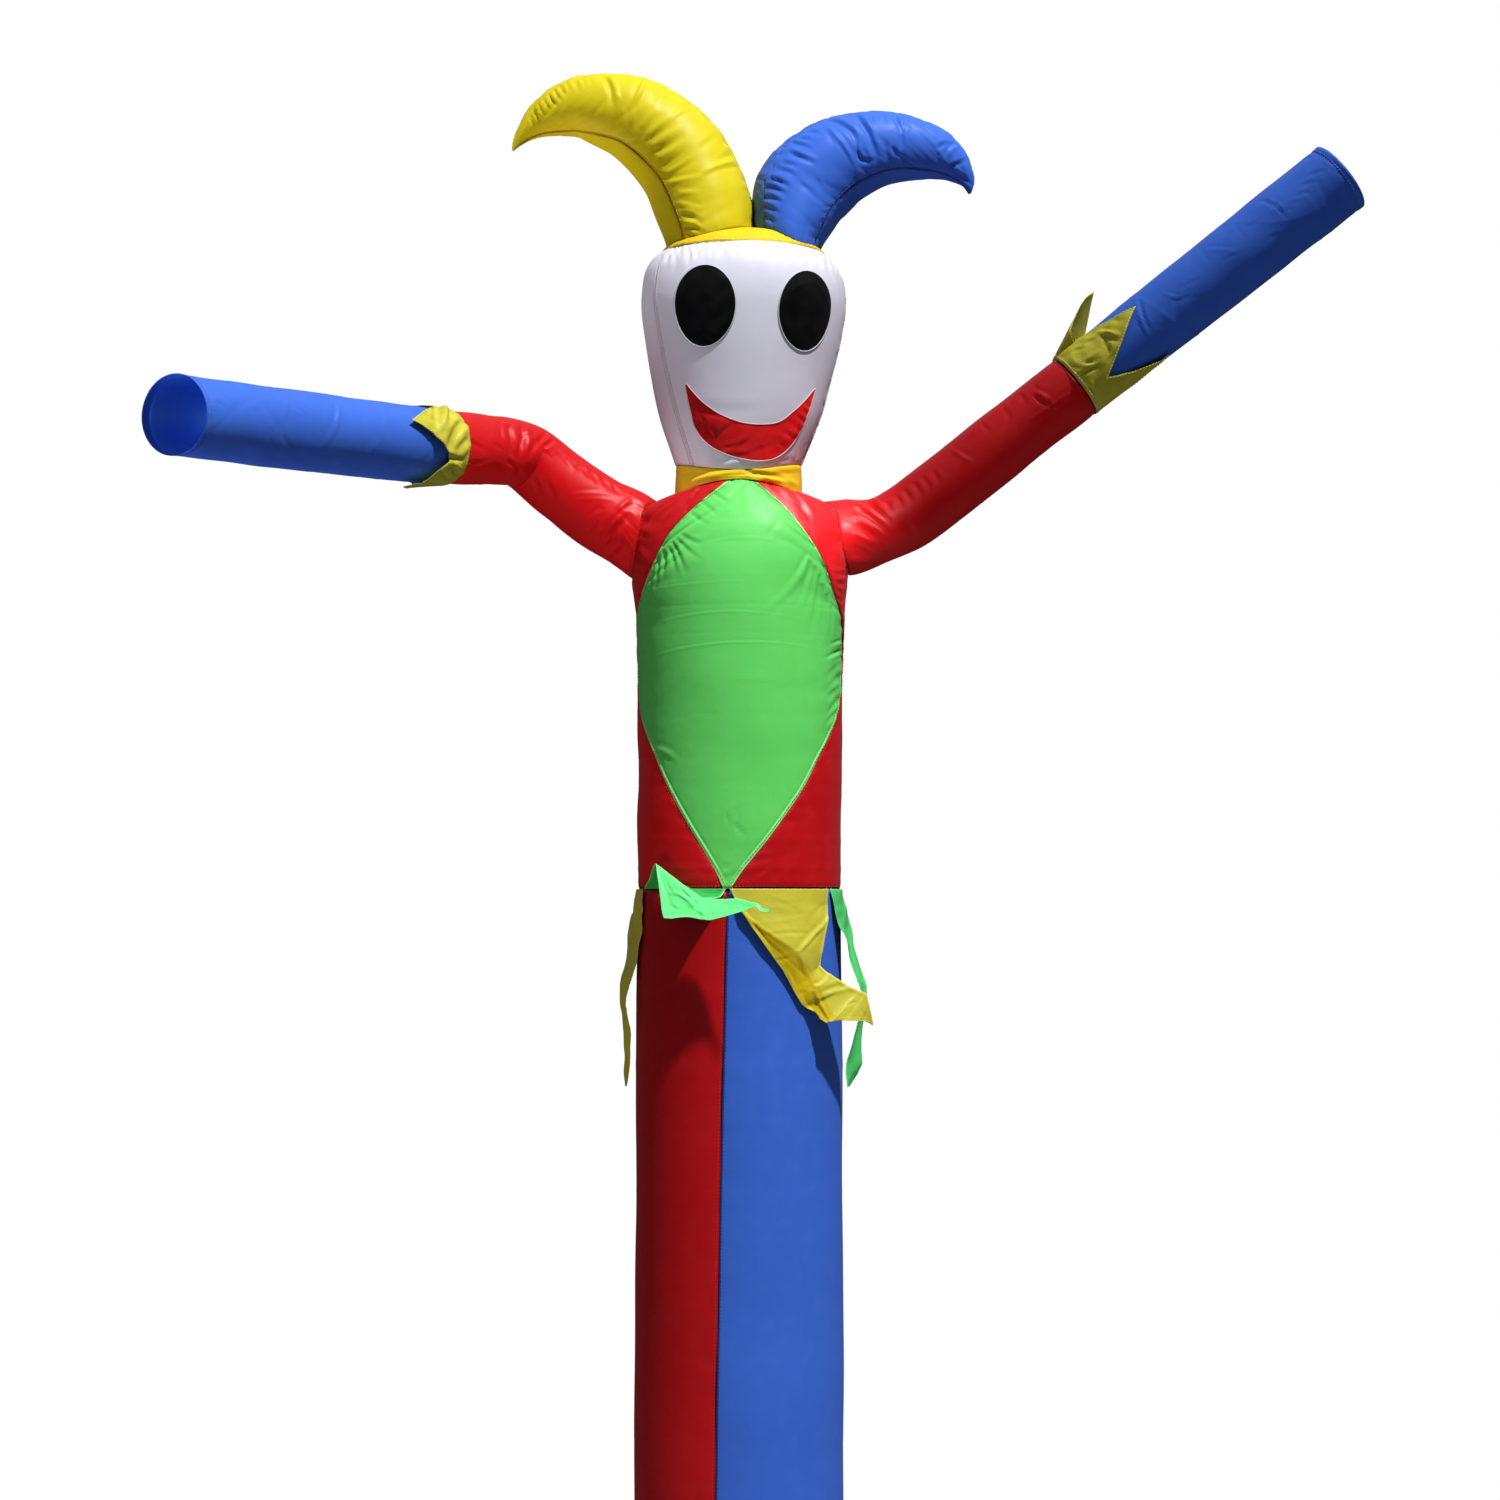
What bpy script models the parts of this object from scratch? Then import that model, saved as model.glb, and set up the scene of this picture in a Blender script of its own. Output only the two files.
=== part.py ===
"""An inflatable air dancer: a jester sewn from coloured nylon, blown up and standing on its open foot.

Metres, +Z up, the face towards -Y; the origin is on the floor, under the middle of the whole figure.
The tables are in millimetres and degrees. In them x runs along +X and forward along -Y, both from the
leg tube's axis, and heights are from the floor. An angle round the body starts at its front and turns
towards +X. Left and right are those of someone who faces the figure.
"""

import math

import bmesh
import bpy
from mathutils import Vector

MM = 0.001
AXIS = Vector((-0.0701, 0.1986, 0.0))  # where the leg tube's axis meets the floor
TUBE_R = 150.0  # of the leg, for a blower outlet 300 mm across
CLOTH = 2.0  # thickness of a blown-up panel
FLAG_CLOTH = 1.2  # thickness of a pennant, a cuff or a sewn-on shape
SEAM = 0.9  # gap between the outer faces of two panels
SEAT = 0.5  # gap under a piece that lies on another
ROOT_CLEAR = 1.3  # gap between a pennant and the leg where it is sewn into the waist seam
FLAG_CLEAR = 4.0  # least gap between them where it hangs
BACK_SEAM = 180.0

RED = (0.62, 0.015, 0.02)
BLUE = (0.03, 0.12, 0.55)
YELLOW = (0.85, 0.62, 0.02)
GREEN = (0.08, 0.66, 0.1)
WHITE = (0.82, 0.82, 0.86)
BLACK = (0.012, 0.012, 0.014)

# height, centre_x, half_width, half_depth, lift (how far front and back stand above the sides),
# turn (angle of the seam between the red and the blue half)
LEG = [
    (0, 0, TUBE_R, TUBE_R, 0, -19),
    (480, 0, TUBE_R, TUBE_R, 0, -16),
    (930, -1, TUBE_R, TUBE_R, 0, -13),
    (1360, -1, 149, 149, 0, -10.5),
    (1640, -1, 148.5, 148.5, 0, -8),
    (1804, -1, 147, 147, 0, -6.5),
]

# height, centre_x, half_width, half_depth, lift, turn (middle of the bib), bib (its half angle)
TORSO = [
    (1804, -1, 147, 147, 0, -6.5, 2),
    (1831, -1, 147, 147, 0, -5.5, 8),
    (1870, -1, 147.5, 147.5, 0, -4, 19),
    (1909, -1, 148, 148, 0, -3.1, 30),
    (1948, 0, 148, 148, 0, -2.7, 41),
    (1990, 0, 148, 148, 0, -2.5, 52),
    (2024, 0, 148.5, 148.5, 0, -2.4, 63),
    (2066, 0, 148.5, 149, 0, -3, 77),
    (2107, 0, 149, 150, 0, -3, 87),
    (2150, 0, 150, 150, 0, -3, 90),
    (2194, 0, 151, 150, 0, -3, 81),
    (2221, -1, 153, 149, 1, -2, 67.5),
    (2248, -1, 157, 147, 2, -1, 57),
    (2273, -1, 160, 143, 4, -0.5, 49),
    (2304, -1, 161, 134, 9, -1, 38),
    (2328, -1, 159, 122, 13, 0, 28),
    (2348, -2, 151, 110, 16, 1.5, 19),
    (2363, -2, 130, 100, 18, 2.5, 13),
    (2371, -2, 93, 92, 18, 2.5, 11),
]

# height, centre_x, half_width, half_depth, lift
COLLAR = [
    (2371, -2, 93, 92, 18),
    (2384, -2, 92, 91, 9),
    (2404, -2, 91, 90, -8),
    (2419, -2, 92, 91, -16),
]

# height, centre_x, half_width, half_depth, lift, left and right (angles of the face panel's seams)
HEAD = [
    (2419, -2, 92, 91, -16, -46, 84),
    (2442, -1, 100, 98, -12, -48, 85),
    (2488, 1, 116.5, 113, -5, -52, 86),
    (2538, 2, 129, 125, 0, -55, 87),
    (2597, 4, 141.5, 137, 0, -57, 88),
    (2650, 5, 149.5, 144, 0, -58, 88),
    (2690, 5, 146.5, 141, 0, -58, 88),
    (2713, 3, 136.5, 132, 0, -58, 88),
    (2728, 3, 123.5, 120, 0, -58, 88),
]

# height, centre_x, half_width, half_depth, lift
CAP = [
    (2728, 3, 123.5, 120, 0),
    (2739, 3, 111, 108, 0),
    (2749, 3, 93, 91, 0),
    (2757, 3, 68, 66, 0),
    (2762, 3, 38, 37, 0),
    (2764, 3, 4, 4, 0),
]

# x, height, half_width, half_depth, gusset (half angle of the inner gusset), ridge (angle of the
# seam along the back of the curve, from the middle of that back towards the front)
YELLOW_HORN = [
    (-44, 2712, 63, 90, 52, 0),
    (-45, 2756, 65, 92, 52, 0),
    (-56, 2806, 70, 86, 50, 0),
    (-73, 2850, 71, 78, 48, 0),
    (-95, 2882, 70, 72, 46, 0),
    (-122, 2910, 67.5, 68, 43, 0),
    (-156, 2932, 62.5, 64, 40, 0),
    (-196, 2945, 55, 57, 33, 0),
    (-234, 2949, 46.5, 48, 25, 0),
    (-266, 2942, 37, 38, 20, 0),
    (-292, 2930, 27, 27, 20, 0),
    (-312, 2914, 16, 17, 20, 0),
    (-326, 2898, 8, 8, 20, 0),
    (-333, 2886, 2.5, 2.5, 20, 0),
]
BLUE_HORN = [
    (71, 2712, 46, 88, 32, 42),
    (72, 2750, 49, 88, 34, 42),
    (82, 2791, 61, 82, 40, 42),
    (94, 2821, 66.5, 76, 40, 36),
    (114, 2846, 68, 71, 40, 26),
    (138, 2866, 66, 67, 40, 12),
    (170, 2880, 61.5, 62, 40, 0),
    (208, 2888, 54, 56, 40, 0),
    (246, 2888, 47, 49, 38, 0),
    (280, 2881, 40, 41, 36, 0),
    (306, 2868, 30, 31, 34, 0),
    (323, 2853, 20, 21, 30, 0),
    (333, 2838, 11, 11, 30, 0),
    (336, 2822, 2.5, 2.5, 30, 0),
]

# x, forward, height, radius, pinch (how far the cloth folds in at a bend: above if more than 0, else below)
RIGHT_ARM = [
    (96, 0, 2311, 55, 0),
    (160, 0, 2316, 55, 0),
    (204, 0, 2327, 49, 3),
    (241, 0, 2345, 50, 3),
    (271, 0, 2365, 49.5, 0),
    (379, 0, 2450.5, 49, 0),
    (488, 0, 2537, 49, 0),
    (673, 0, 2683, 52, 0),
    (878, 0, 2848, 52.5, 0),
]
LEFT_ARM = [
    (-100, -4, 2280, 57, 0),
    (-156, 0, 2325, 57, 0),
    (-205, 5, 2351, 53, 0),
    (-262, 15, 2391.5, 51, 0),
    (-309, 30, 2425, 50.5, -7),
    (-338, 60, 2431, 50.5, -5),
    (-418, 151, 2427, 50.5, 0),
    (-567, 330, 2418, 52.5, 0),
    (-728, 550, 2409.5, 52.5, 0),
]
CUFF_ROW = 6  # row of either arm where the sleeve ends and the forearm and cuff begin

# tip (angle round the arm), length, stand_off (of the tip from the forearm)
RIGHT_CUFF = [(-36, 134, 2), (66, 137, 2), (157, 120, 5), (240, 110, 48)]
LEFT_CUFF = [(21, 112, 4), (122, 92, 2), (198, 110, 6), (284, 96, 12)]
RIGHT_VALLEY = 24  # angle of the valley after the first point
LEFT_VALLEY = 63
CUFF_BAND = 38  # from the cuff's seam to the bottom of a valley
LEFT_SLANT = 7  # how far the left forearm's mouth is cut back on its front

# angle, height, half_angle, half_height
LEFT_EYE = (-22.5, 2631, 18.5, 58)
RIGHT_EYE = (39, 2627.5, 19, 57)

# across (angle from the mouth's middle), low, high (heights of the two edges)
MOUTH_ANGLE = 10
MOUTH = [
    (-49, 2521, 2525),
    (-47.5, 2490, 2524),
    (-44, 2463, 2515),
    (-36, 2448, 2499),
    (-24, 2438, 2484),
    (-8, 2431, 2474),
    (8, 2428, 2472),
    (20, 2429, 2476),
    (30, 2436, 2490),
    (37, 2447, 2502),
    (42, 2464, 2512),
    (45.5, 2490, 2520),
    (48, 2520, 2524),
]

# A row for each fold: left_x, left_forward, left_height, right_x, right_forward, right_height.
# The first row is sewn into the waist seam.
GREEN_FRONT = [
    (-134, 60, 1801, -19, 146, 1801),
    (-127, 90, 1822, -27, 156, 1792),
    (-118, 128, 1840, -52, 170, 1788),
    (-112, 148, 1798, -47, 174, 1788),
    (-105, 162, 1762, -27, 186, 1789),
    (-73, 184, 1764, -12, 198, 1790),
    (-39, 205, 1759, 2, 209, 1789),
    (1, 222, 1771, 12, 218, 1786),
    (22, 231, 1778, 24, 228, 1783),
    (28, 234, 1772, 31, 232, 1776),
    (43, 238, 1770, 40, 237, 1776),
]
YELLOW_FRONT = [
    (-14, 147, 1801, 125, 77, 1801),
    (3, 156, 1770, 125, 88, 1767),
    (33, 151, 1726, 116, 100, 1726),
    (61, 140, 1687, 111, 106, 1693),
    (85, 124, 1642, 146, 102, 1670),
    (116, 104, 1621, 167, 98, 1661),
    (149, 99, 1619, 179, 95, 1656),
    (176, 95, 1617, 184, 93, 1635),
    (188, 91, 1611, 188, 91, 1616),
]
YELLOW_SIDE = [
    (-117, -89, 1801, -136, 56, 1801),
    (-160, -76, 1768, -140, 62, 1767),
    (-163, -62, 1742, -140, 62, 1743),
    (-167, -50, 1704, -146, 50, 1702),
    (-173, -38, 1664, -159, 36, 1666),
    (-174, -30, 1635, -163, 26, 1636),
    (-169, -20, 1598, -158, 16, 1598),
    (-166, -12, 1566, -158, 9, 1569),
    (-166, -7, 1540, -159, 5, 1542),
    (-164, -2, 1520, -162, 2, 1520),
]
GREEN_SIDE = [
    (128, 73, 1801, 127, -75, 1801),
    (137, 69, 1771, 156, -64, 1777),
    (143, 63, 1747, 161, -54, 1747),
    (153, 56, 1725, 166, -45, 1724),
    (159, 50, 1701, 173, -38, 1701),
    (168, 40, 1669, 181, -30, 1669),
    (174, 32, 1640, 183, -26, 1640),
    (169, 25, 1608, 177, -22, 1606),
    (160, 18, 1575, 177, -18, 1576),
    (154, 12, 1553, 177, -13, 1552),
    (152, 8, 1537, 168, -9, 1536),
    (153, 4, 1519, 156, -4, 1521),
]
YELLOW_BACK = [
    (125, -78, 1801, 6, -147, 1801),
    (124, -90, 1762, 10, -156, 1764),
    (118, -102, 1720, 16, -164, 1724),
    (106, -112, 1676, 22, -166, 1682),
    (94, -124, 1634, 30, -162, 1638),
    (82, -138, 1588, 42, -164, 1592),
    (66, -154, 1540, 56, -164, 1542),
    (62, -163, 1515, 60, -166, 1515),
]
GREEN_BACK = [
    (2, -147, 1801, -115, -92, 1801),
    (-4, -156, 1766, -116, -100, 1768),
    (-12, -166, 1728, -112, -108, 1732),
    (-20, -172, 1690, -104, -116, 1692),
    (-26, -168, 1646, -90, -130, 1650),
    (-34, -164, 1600, -74, -146, 1602),
    (-44, -166, 1552, -60, -158, 1554),
    (-50, -170, 1520, -53, -168, 1520),
]


def clear_scene():
    for old in list(bpy.data.objects):
        bpy.data.objects.remove(old)


def collection(name):
    made = bpy.data.collections.new(name)
    bpy.context.scene.collection.children.link(made)
    return made


def nylon(name, colour):
    """Light coated nylon in one colour."""
    made = bpy.data.materials.new(name)
    made.use_nodes = True
    shader = made.node_tree.nodes["Principled BSDF"]
    shader.inputs["Base Color"].default_value = (*colour, 1)
    shader.inputs["Roughness"].default_value = 0.45
    shader.inputs["Metallic"].default_value = 0
    return made


def row_at(table, station, knots=None):
    """The row of a table at a station between its rows, on a smooth curve through all of them."""
    knots = knots or list(range(len(table)))
    last = len(table) - 1
    station = min(max(station, knots[0]), knots[last])
    low = max(i for i in range(last) if knots[i] <= station)
    span = knots[low + 1] - knots[low]
    t = (station - knots[low]) / span
    row = []
    for column in range(len(table[0])):
        value = [line[column] for line in table]
        slope = []
        for i in (low, low + 1):
            before, after = max(i - 1, 0), min(i + 1, last)
            slope.append((value[after] - value[before]) / (knots[after] - knots[before]))
        row.append(
            (2 * t**3 - 3 * t**2 + 1) * value[low]
            + (t**3 - 2 * t**2 + t) * span * slope[0]
            + (3 * t**2 - 2 * t**3) * value[low + 1]
            + (t**3 - t**2) * span * slope[1]
        )
    return row


def place(x, forward, height):
    """A point in the part's frame from the tables' x, forward and height."""
    return AXIS + Vector((x, -forward, height)) * MM


def body_point(table, station, angle, grow=0.0):
    """A point on a body whose level sections are ellipses."""
    height, centre, width, depth, lift = row_at(table, station)[:5]
    a = math.radians(angle)
    return place(
        centre + (width + grow) * math.sin(a),
        (depth + grow) * math.cos(a),
        height + lift * math.cos(a) ** 2,
    )


def station_at(table, height):
    """The station of a body table at a height."""
    low, high = 0.0, len(table) - 1.0
    for _ in range(40):
        middle = (low + high) / 2
        if row_at(table, middle)[0] < height:
            low = middle
        else:
            high = middle
    return low


def horn_point(table, lean, station, angle):
    """A point on a horn that curves towards lean (1 for +X, -1 for -X).

    Its ellipses stand square to the curve. Angle 0 is on the inner side, 90 in front.
    """
    x, height, width, depth = row_at(table, station)[:4]
    here = Vector((x, 0, height))
    ends = [row_at(table, station + step)[:2] for step in (-0.05, 0.05)]
    along = (Vector((ends[1][0], 0, ends[1][1])) - Vector((ends[0][0], 0, ends[0][1]))).normalized()
    inner = Vector((along.z, 0, -along.x)) * lean
    a = math.radians(angle)
    front = Vector((0, -1, 0))
    return AXIS + (here + inner * width * math.cos(a) + front * depth * math.sin(a)) * MM


def arm_knots(table):
    """The distance along an arm's middle line of each row of its table."""
    knots = [0.0]
    for one, two in zip(table, table[1:]):
        knots.append(knots[-1] + math.dist(one[:3], two[:3]))
    return knots


def arm_point(table, distance, angle, stand_off=0.0):
    """A point on an arm, whose circles stand square to its middle line; angle 0 faces forward."""
    knots = arm_knots(table)
    distance = min(max(distance, knots[0]), knots[-1])
    x, forward, height, radius, pinch = row_at(table, distance, knots)
    here = Vector((x, -forward, height))
    step = 4.0
    before = row_at(table, distance - step, knots)
    after = row_at(table, distance + step, knots)
    along = (place(*after[:3]) - place(*before[:3])).normalized()
    front = Vector((0, -1, 0))
    front = (front - along * front.dot(along)).normalized()
    side = along.cross(front)
    a = math.radians(angle)
    out = front * math.cos(a) + side * math.sin(a)
    folded = max(0.0, math.copysign(out.z, pinch * out.z)) ** 2
    return AXIS + (here + out * (radius + stand_off - abs(pinch) * folded)) * MM


def steps(first, last, count):
    """Evenly spaced numbers from first to last, both included."""
    return [first + (last - first) * i / count for i in range(count + 1)]


def sheet(name, material, rows, closed=False, thickness=CLOTH, offset=-1):
    """A sheet of cloth through rows of points, closed round a tube if it is one."""
    mesh = bpy.data.meshes.new(name)
    made = bpy.data.objects.new(name, mesh)
    figure.objects.link(made)
    work = bmesh.new()
    points = [[work.verts.new(point) for point in row] for row in rows]
    across = len(rows[0])
    for below, above in zip(points, points[1:]):
        for i in range(across if closed else across - 1):
            j = (i + 1) % across
            work.faces.new((below[i], below[j], above[j], above[i]))
    work.to_mesh(mesh)
    work.free()
    mesh.materials.append(material)
    mesh.shade_smooth()
    wall = made.modifiers.new("cloth", "SOLIDIFY")
    wall.thickness = thickness * MM
    wall.offset = offset
    return made


def body_panel(name, material, table, stations, edges, columns):
    """A panel of the body between two seams: edges(row) gives their angles."""
    rows = []
    for station in stations:
        row = row_at(table, station)
        gap = math.degrees(SEAM / 2 / row[2])
        first, last = edges(row)
        angles = steps(first + gap, last - gap, columns)
        rows.append([body_point(table, station, angle) for angle in angles])
    return sheet(name, material, rows)


def seam_stations(table, per_row, first_gap, last_gap):
    """Stations along a body table, drawn back from its end seams by half a seam's gap."""
    last = len(table) - 1
    made = steps(0, last, last * per_row)
    if first_gap:
        made[0] = station_gap(table, 0, 1)
    if last_gap:
        made[-1] = station_gap(table, last, -1)
    return made


def station_gap(table, station, way):
    """The station half a seam's gap in from an end of a body table."""
    end = body_point(table, station, 90)
    beside = body_point(table, station + way * 0.1, 90)
    return station + way * 0.1 * (SEAM / 2 * MM) / (beside - end).length


def cutter(name, rows):
    """A closed solid through rings of points, kept out of the figure and used to trim it."""
    made = sheet(name, None, rows, closed=True)
    made.modifiers.clear()
    work = bmesh.new()
    work.from_mesh(made.data)
    bmesh.ops.holes_fill(work, edges=work.edges)
    bmesh.ops.recalc_face_normals(work, faces=work.faces)
    work.to_mesh(made.data)
    work.free()
    hide_cutter(made)
    return made


def hide_cutter(made):
    for home in list(made.users_collection):
        home.objects.unlink(made)
    cutters.objects.link(made)
    made.hide_render = True
    made.display_type = "WIRE"


def bore(name, start, end, radius, squash=1.0):
    """A round cutter from one point to another; squash narrows it along X."""
    length = (end - start).length
    bpy.ops.mesh.primitive_cylinder_add(vertices=24, radius=radius * MM, depth=length)
    made = bpy.context.object
    made.name = name
    made.data.transform((end - start).to_track_quat("Z", "Y").to_matrix().to_4x4())
    for vertex in made.data.vertices:
        vertex.co.x *= squash
    made.location = (start + end) / 2
    hide_cutter(made)
    return made


def trim(piece, tool):
    cut = piece.modifiers.new("trim", "BOOLEAN")
    cut.operation = "DIFFERENCE"
    cut.solver = "EXACT"
    cut.object = tool


def leg_halves():
    stations = seam_stations(LEG, 1, False, True)
    body_panel("leg_red", red, LEG, stations, lambda row: (row[5] - BACK_SEAM, row[5]), 16)
    body_panel("leg_blue", blue, LEG, stations, lambda row: (row[5], row[5] + BACK_SEAM), 16)


def torso_panels():
    stations = seam_stations(TORSO, 1, True, True)
    body_panel("bib_green", green, TORSO, stations, lambda row: (row[5] - row[6], row[5] + row[6]), 10)
    left = body_panel("torso_red_left", red, TORSO, stations, lambda row: (-BACK_SEAM, row[5] - row[6]), 13)
    right = body_panel("torso_red_right", red, TORSO, stations, lambda row: (row[5] + row[6], BACK_SEAM), 13)
    for panel, table, name in ((left, LEFT_ARM, "left"), (right, RIGHT_ARM, "right")):
        start = place(*table[0][:3])
        end = start + (place(*table[1][:3]) - start) * 2
        trim(panel, bore("armhole_" + name, start, end, table[1][3] - 2 * CLOTH))


def ring(table, station, count, grow=0.0):
    return [body_point(table, station, angle, grow) for angle in steps(0, 360, count)[:-1]]


def neck_and_head():
    stations = seam_stations(COLLAR, 1, True, True)
    sheet("collar_yellow", yellow, [ring(COLLAR, s, 28) for s in stations], closed=True)
    stations = seam_stations(HEAD, 1, True, True)
    body_panel("face_white", white, HEAD, stations, lambda row: (row[5], row[6]), 16)
    body_panel("head_back_white", white, HEAD, stations, lambda row: (row[6], row[5] + 360), 18)
    stations = seam_stations(CAP, 1, True, False)
    cap = sheet("cap_yellow", yellow, [ring(CAP, s, 28) for s in stations], closed=True)
    for name, x, width, depth in (("yellow", -36, 48, 76), ("blue", 71, 34, 76)):
        hole = bore("cap_hole_" + name, place(x, 0, 2700), place(x, 0, 2800), depth, width / depth)
        trim(cap, hole)


def oval(name, eye):
    """A sewn-on oval on the face."""
    angle, height, half_angle, half_height = eye
    count = 10
    rows = []
    for i in range(count + 1):
        turn = math.pi * (0.03 + 0.94 * i / count)
        station = station_at(HEAD, height - half_height * math.cos(turn))
        half = half_angle * math.sin(turn)
        across = steps(angle - half, angle + half, 6)
        rows.append([body_point(HEAD, station, a, SEAT) for a in across])
    sheet(name, black, rows, thickness=FLAG_CLOTH, offset=1)


def mouth():
    """The crescent, from its left corner to its right one."""
    rows = []
    for share in steps(0, 1, 2):
        row = []
        for across in steps(0, len(MOUTH) - 1, 2 * (len(MOUTH) - 1)):
            angle, low, high = row_at(MOUTH, across)
            station = station_at(HEAD, low + (high - low) * share)
            row.append(body_point(HEAD, station, MOUTH_ANGLE + angle, SEAT))
        rows.append(row)
    sheet("mouth_red", red, rows, thickness=FLAG_CLOTH, offset=1)


def horn(colour, material, table, lean, tool):
    """A horn of three panels: a gusset on the inner side of its curve, a front and a back."""
    last = len(table) - 1
    panels = (
        ("inner", lambda row: (-row[4], row[4]), 4),
        ("front", lambda row: (row[4], 180 - row[5]), 6),
        ("back", lambda row: (180 - row[5], 360 - row[4]), 7),
    )
    for part, edges, columns in panels:
        rows = []
        for station in steps(0, last, last):
            row = row_at(table, station)
            gap = math.degrees(SEAM / 2 / min(row[2], row[3]))
            first, end = edges(row)
            angles = steps(first + gap, end - gap, columns)
            if lean < 0:
                angles.reverse()
            rows.append([horn_point(table, lean, station, angle) for angle in angles])
        trim(sheet(f"horn_{colour}_{part}", material, rows), tool)


def arm(side, table, slant, tool):
    """A red sleeve from the torso to the cuff, and a blue forearm with an open end."""
    knots = arm_knots(table)
    wrist = knots[CUFF_ROW]
    round_arm = steps(0, 360, 18)[:-1]
    sleeve = steps(knots[0], wrist - SEAM / 2, 12)
    rows = [[arm_point(table, at, angle) for angle in round_arm] for at in sleeve]
    trim(sheet("sleeve_red_" + side, red, rows, closed=True), tool)
    forearm = steps(wrist + SEAM / 2, knots[-1], 5)
    rows = [[arm_point(table, at, angle) for angle in round_arm] for at in forearm[:-1]]
    mouth = [knots[-1] - slant * (1 + math.cos(math.radians(angle))) for angle in round_arm]
    rows.append([arm_point(table, at, angle) for at, angle in zip(mouth, round_arm)])
    sheet("forearm_blue_" + side, blue, rows, closed=True)


def cuff(side, table, points, valley):
    """A yellow cuff with four points, sewn on at the sleeve's end and lying along the forearm."""
    wrist = arm_knots(table)[CUFF_ROW]
    lift = SEAT + FLAG_CLOTH + 0.8
    quarter = 90
    rows = []
    for share in steps(0, 1, 3):
        row = []
        for i in range(4):
            low = valley + quarter * (i - 1)
            tip, length, stand_off = points[i]
            rising = [(near, low + (tip - low) * near) for near in (0, 1 / 3, 2 / 3, 1)]
            high = low + quarter
            falling = [(near, high + (tip - high) * near) for near in (2 / 3, 1 / 3)]
            for near, angle in rising + falling:
                reach = CUFF_BAND + (length - CUFF_BAND) * near
                at = SEAM / 2 + reach * share
                free = share * (0.3 + 0.7 * near)
                row.append(arm_point(table, wrist + at, angle, lift + stand_off * free))
        rows.append(row)
    sheet("cuff_yellow_" + side, yellow, rows, closed=True, thickness=FLAG_CLOTH)


def clear_of_leg(x, forward, height, gap):
    """The same place, pushed straight out where it would touch the leg tube."""
    _, centre, radius, *_ = row_at(LEG, station_at(LEG, height))
    out = math.hypot(x - centre, forward)
    push = max(1.0, (radius + FLAG_CLOTH / 2 + gap) / out)
    return centre + (x - centre) * push, forward * push


def pennant(name, material, folds):
    """A pennant that hangs from the waist seam, in the folds that its table gives."""
    rows = []
    last = len(folds) - 1
    for station in steps(0, last, 2 * last):
        row = row_at(folds, station)
        gap = ROOT_CLEAR + (FLAG_CLEAR - ROOT_CLEAR) * min(1.0, station)
        line = []
        for share in steps(0, 1, 5):
            x, forward, height = (row[i] + (row[i + 3] - row[i]) * share for i in range(3))
            x, forward = clear_of_leg(x, forward, height, gap)
            line.append(place(x, forward, height))
        rows.append(line)
    sheet(name, material, rows, thickness=FLAG_CLOTH, offset=0)


clear_scene()
figure = collection("air_dancer")
cutters = collection("cutters")
red = nylon("red_nylon", RED)
blue = nylon("blue_nylon", BLUE)
yellow = nylon("yellow_nylon", YELLOW)
green = nylon("green_nylon", GREEN)
white = nylon("white_nylon", WHITE)
black = nylon("black_nylon", BLACK)

leg_halves()
torso_panels()
neck_and_head()
oval("eye_left", LEFT_EYE)
oval("eye_right", RIGHT_EYE)
mouth()

crown = [ring(HEAD, 6, 32, SEAT), *(ring(CAP, s, 32, SEAT) for s in range(len(CAP)))]
cap_solid = cutter("cap_solid", crown)
cap_solid.location.z = SEAT * MM
horn("yellow", yellow, YELLOW_HORN, -1, cap_solid)
horn("blue", blue, BLUE_HORN, 1, cap_solid)

torso_solid = cutter("torso_solid", [ring(TORSO, s, 48, SEAT) for s in range(len(TORSO))])
arm("left", LEFT_ARM, LEFT_SLANT, torso_solid)
arm("right", RIGHT_ARM, 0, torso_solid)
cuff("left", LEFT_ARM, LEFT_CUFF, LEFT_VALLEY)
cuff("right", RIGHT_ARM, RIGHT_CUFF, RIGHT_VALLEY)

pennant("pennant_green_front", green, GREEN_FRONT)
pennant("pennant_yellow_front", yellow, YELLOW_FRONT)
pennant("pennant_green_side", green, GREEN_SIDE)
pennant("pennant_yellow_back", yellow, YELLOW_BACK)
pennant("pennant_green_back", green, GREEN_BACK)
pennant("pennant_yellow_side", yellow, YELLOW_SIDE)
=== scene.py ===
"""The looks of an inflatable jester: its nylon panels with seams, puckers and folds, its floor and its light.

Lengths in the tables are in millimetres and angles in degrees. x runs along +X and forward along -Y, both
from the leg tube's axis, and heights are from the floor. An angle round the body starts at its front and
turns towards +X. Left and right are those of someone who faces the figure.
"""

import math

import bmesh
import bpy
import numpy as np
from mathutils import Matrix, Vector
from mathutils.bvhtree import BVHTree


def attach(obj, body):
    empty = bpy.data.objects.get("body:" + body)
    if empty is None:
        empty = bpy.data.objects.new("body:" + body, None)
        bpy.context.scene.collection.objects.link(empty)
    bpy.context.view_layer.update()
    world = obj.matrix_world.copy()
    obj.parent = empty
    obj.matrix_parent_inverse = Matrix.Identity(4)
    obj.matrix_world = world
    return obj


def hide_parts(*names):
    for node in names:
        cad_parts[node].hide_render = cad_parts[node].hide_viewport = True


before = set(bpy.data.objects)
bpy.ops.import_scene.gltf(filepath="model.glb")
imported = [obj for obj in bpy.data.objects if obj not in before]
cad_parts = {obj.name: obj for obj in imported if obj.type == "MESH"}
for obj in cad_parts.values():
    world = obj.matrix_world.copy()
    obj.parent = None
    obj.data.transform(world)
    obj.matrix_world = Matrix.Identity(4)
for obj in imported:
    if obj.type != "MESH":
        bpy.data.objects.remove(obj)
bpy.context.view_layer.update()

MM = 0.001
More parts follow.
